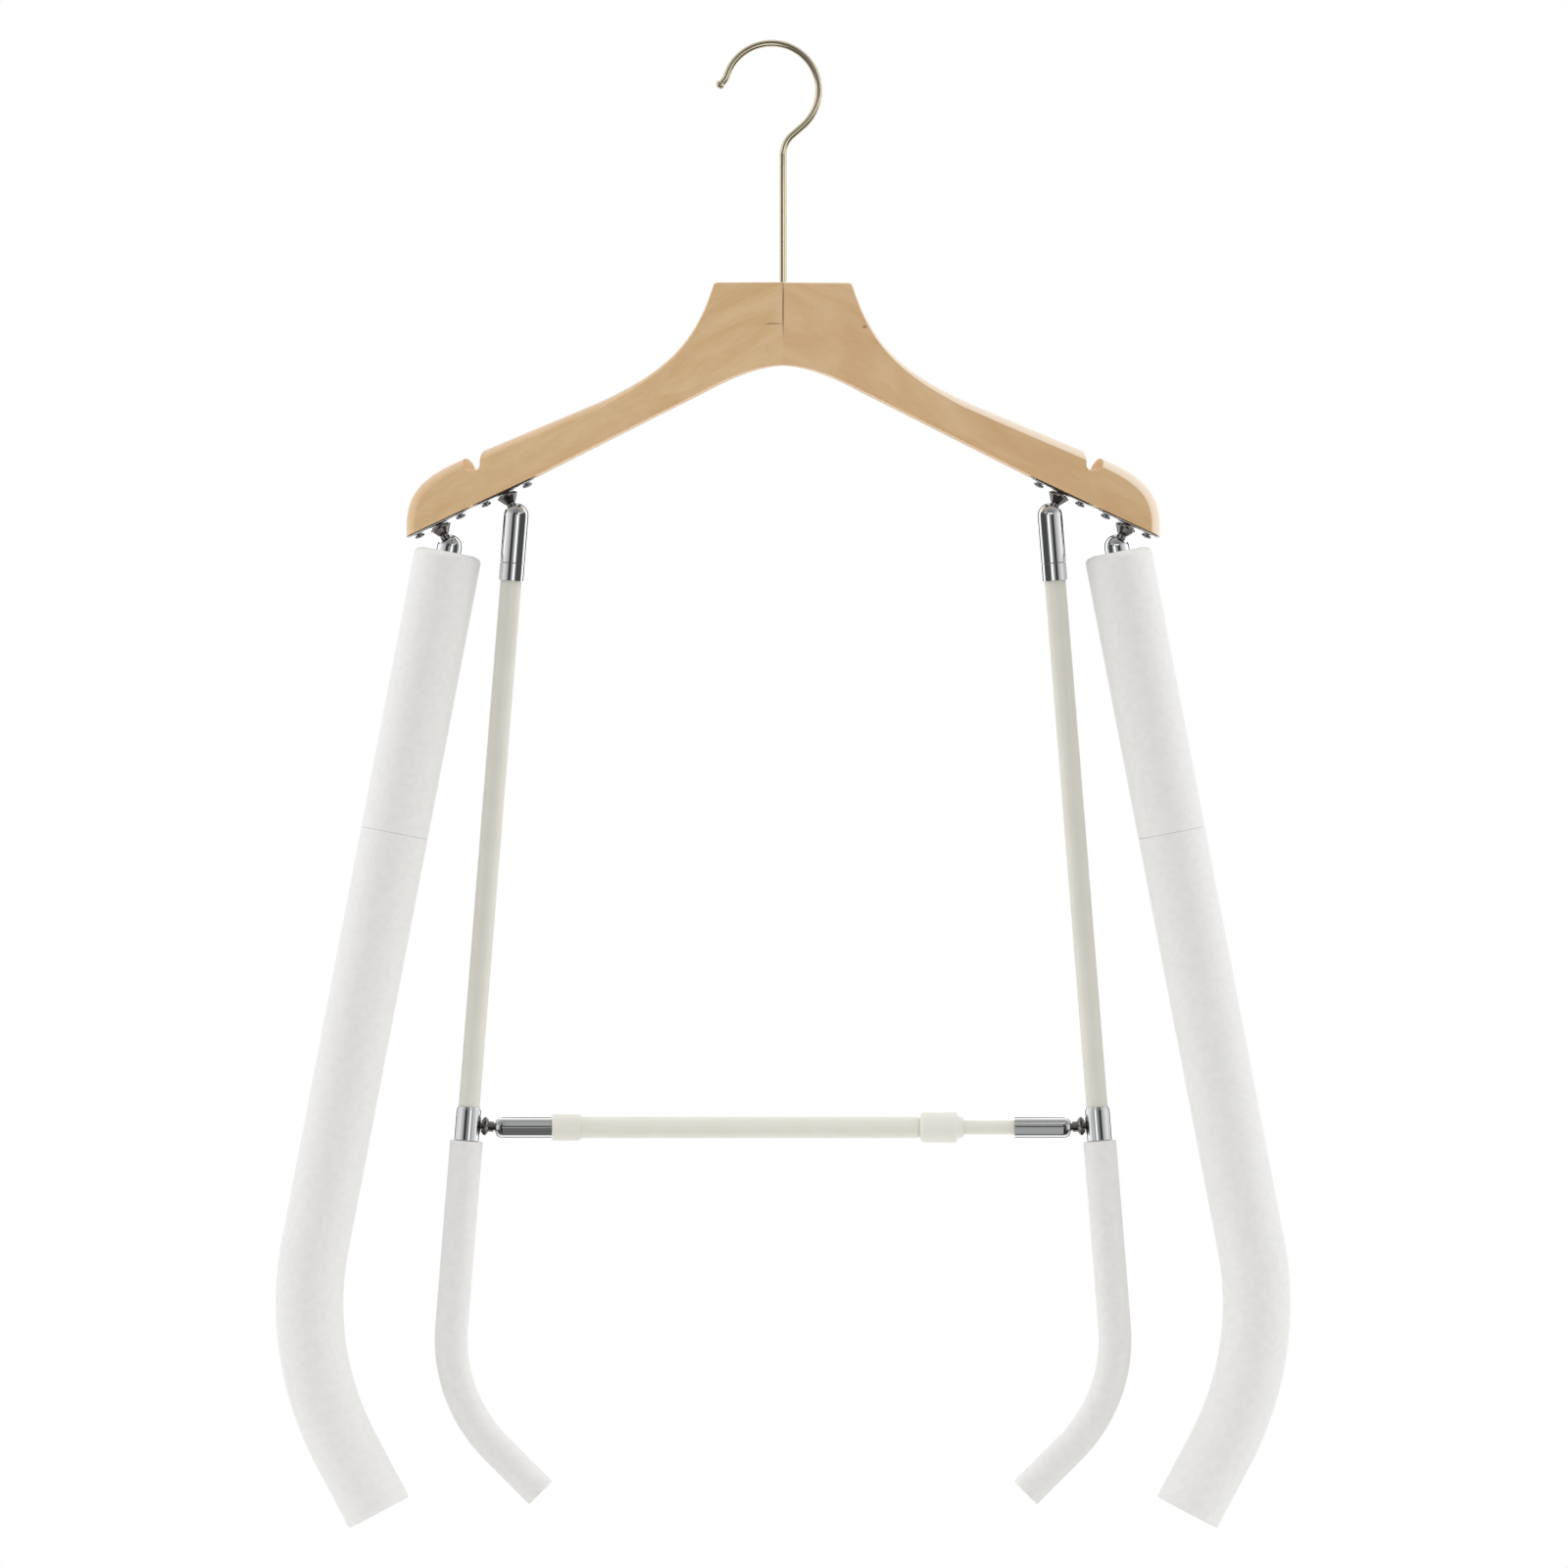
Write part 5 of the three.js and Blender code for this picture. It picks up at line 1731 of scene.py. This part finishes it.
    def lay_floor(self, low: float) -> None:
        """Lays a round pale floor that fades out into the white background.

        Args:
            low: its height.
        """
        shape = bmesh.new()
        place = shift(0, 0, low)
        bmesh.ops.create_circle(shape, cap_ends=True, segments=96, radius=self.floor_radius, matrix=place)
        mesh = to_mesh("studio_floor", shape)
        mesh.materials.append(bpy.data.materials.new("pale_floor"))
        add = adder(mesh.materials[0])
        at = add("TexCoord").outputs["Object"]
        scale = 1 / self.floor_radius
        centred = add("Mapping", {0: at, "Scale": (scale, scale, 0.0)})
        fade = add("TexGradient", {0: centred}, gradient_type="SPHERICAL")
        keep = add("MapRange", {0: fade, "From Max": self.floor_whole}, interpolation_type="SMOOTHSTEP")
        matt = add("BsdfDiffuse", {"Color": linear(self.floor), "Roughness": 1.0})
        add("OutputMaterial", {0: add("MixShader", {0: keep, 1: add("BsdfTransparent"), 2: matt})})
        floor = add_object("studio_floor", mesh)
        floor.visible_glossy = False
        floor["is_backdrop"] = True

    def set_camera(self) -> None:
        """Sets a long lens straight in front, level with the middle of the object."""
        data = bpy.data.cameras.new("front_camera")
        data.sensor_width = self.sensor
        data.lens = self.sensor * self.distance / self.view
        data.clip_end = 4 * self.distance
        camera = add_object("front_camera", data)
        camera.location = (self.centre[0], self.depth - self.distance, self.centre[1])
        camera.rotation_euler = (math.pi / 2, 0, 0)
        bpy.context.scene.camera = camera

    def build(self, low: float) -> None:
        """Sets up light, floor and camera.

        Args:
            low: lowest height of the object.
        """
        bpy.context.scene.view_settings.view_transform = "Standard"
        self.light()
        self.hang_softbox()
        for number, (corner, opposite, radiance) in enumerate(self.screens):
            self.hang_screen(f"screen_{number}", Vector(corner), Vector(opposite), radiance)
        self.lay_floor(low - self.floor_drop)
        self.set_camera()


def plain(box: Any) -> list[list[float]]:
    """A box's two corners as plain lists."""
    return [[float(v) for v in corner] for corner in box]


def main() -> None:
    """Builds the dressed hanger from the hook down, then the studio."""
    logging.basicConfig(level=logging.INFO, format="%(message)s")
    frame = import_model()
    before = plain(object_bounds())
    bench = Bench(frame)
    hook = Hook()
    hook.build(bench)
    board = Board(hook)
    torso_bracket = Bracket(Role.TORSO, seat=61.4, board=board)
    torso = TorsoBar(BallJoint(torso_bracket, lean=4.55, swing=(-25, 25), tilt=(-2.2, 4)))
    arm_bracket = Bracket(Role.ARM, seat=19.8, board=board)
    arm = Arm(BallJoint(arm_bracket, lean=10.9, swing=(-45, 28), tilt=(-2, 7)))
    for side in Side:
        for assembly in (board, torso_bracket, arm_bracket, torso, arm):
            assembly.build(bench, side)
        bench.dress(NYLON, f"torso_friction_cup_{side.value}", f"arm_friction_cup_{side.value}")
        bench.dress(STEEL, f"elbow_pin_{side.value}")
    Crossbar(torso).build(bench)
    bench.dress(NYLON, "crossbar_guide_plug")
    bench.dress(BEECH[Side.LEFT], "mitre_dowel")
    Studio().build(before[0][2])


if __name__ == "__main__":
    main()
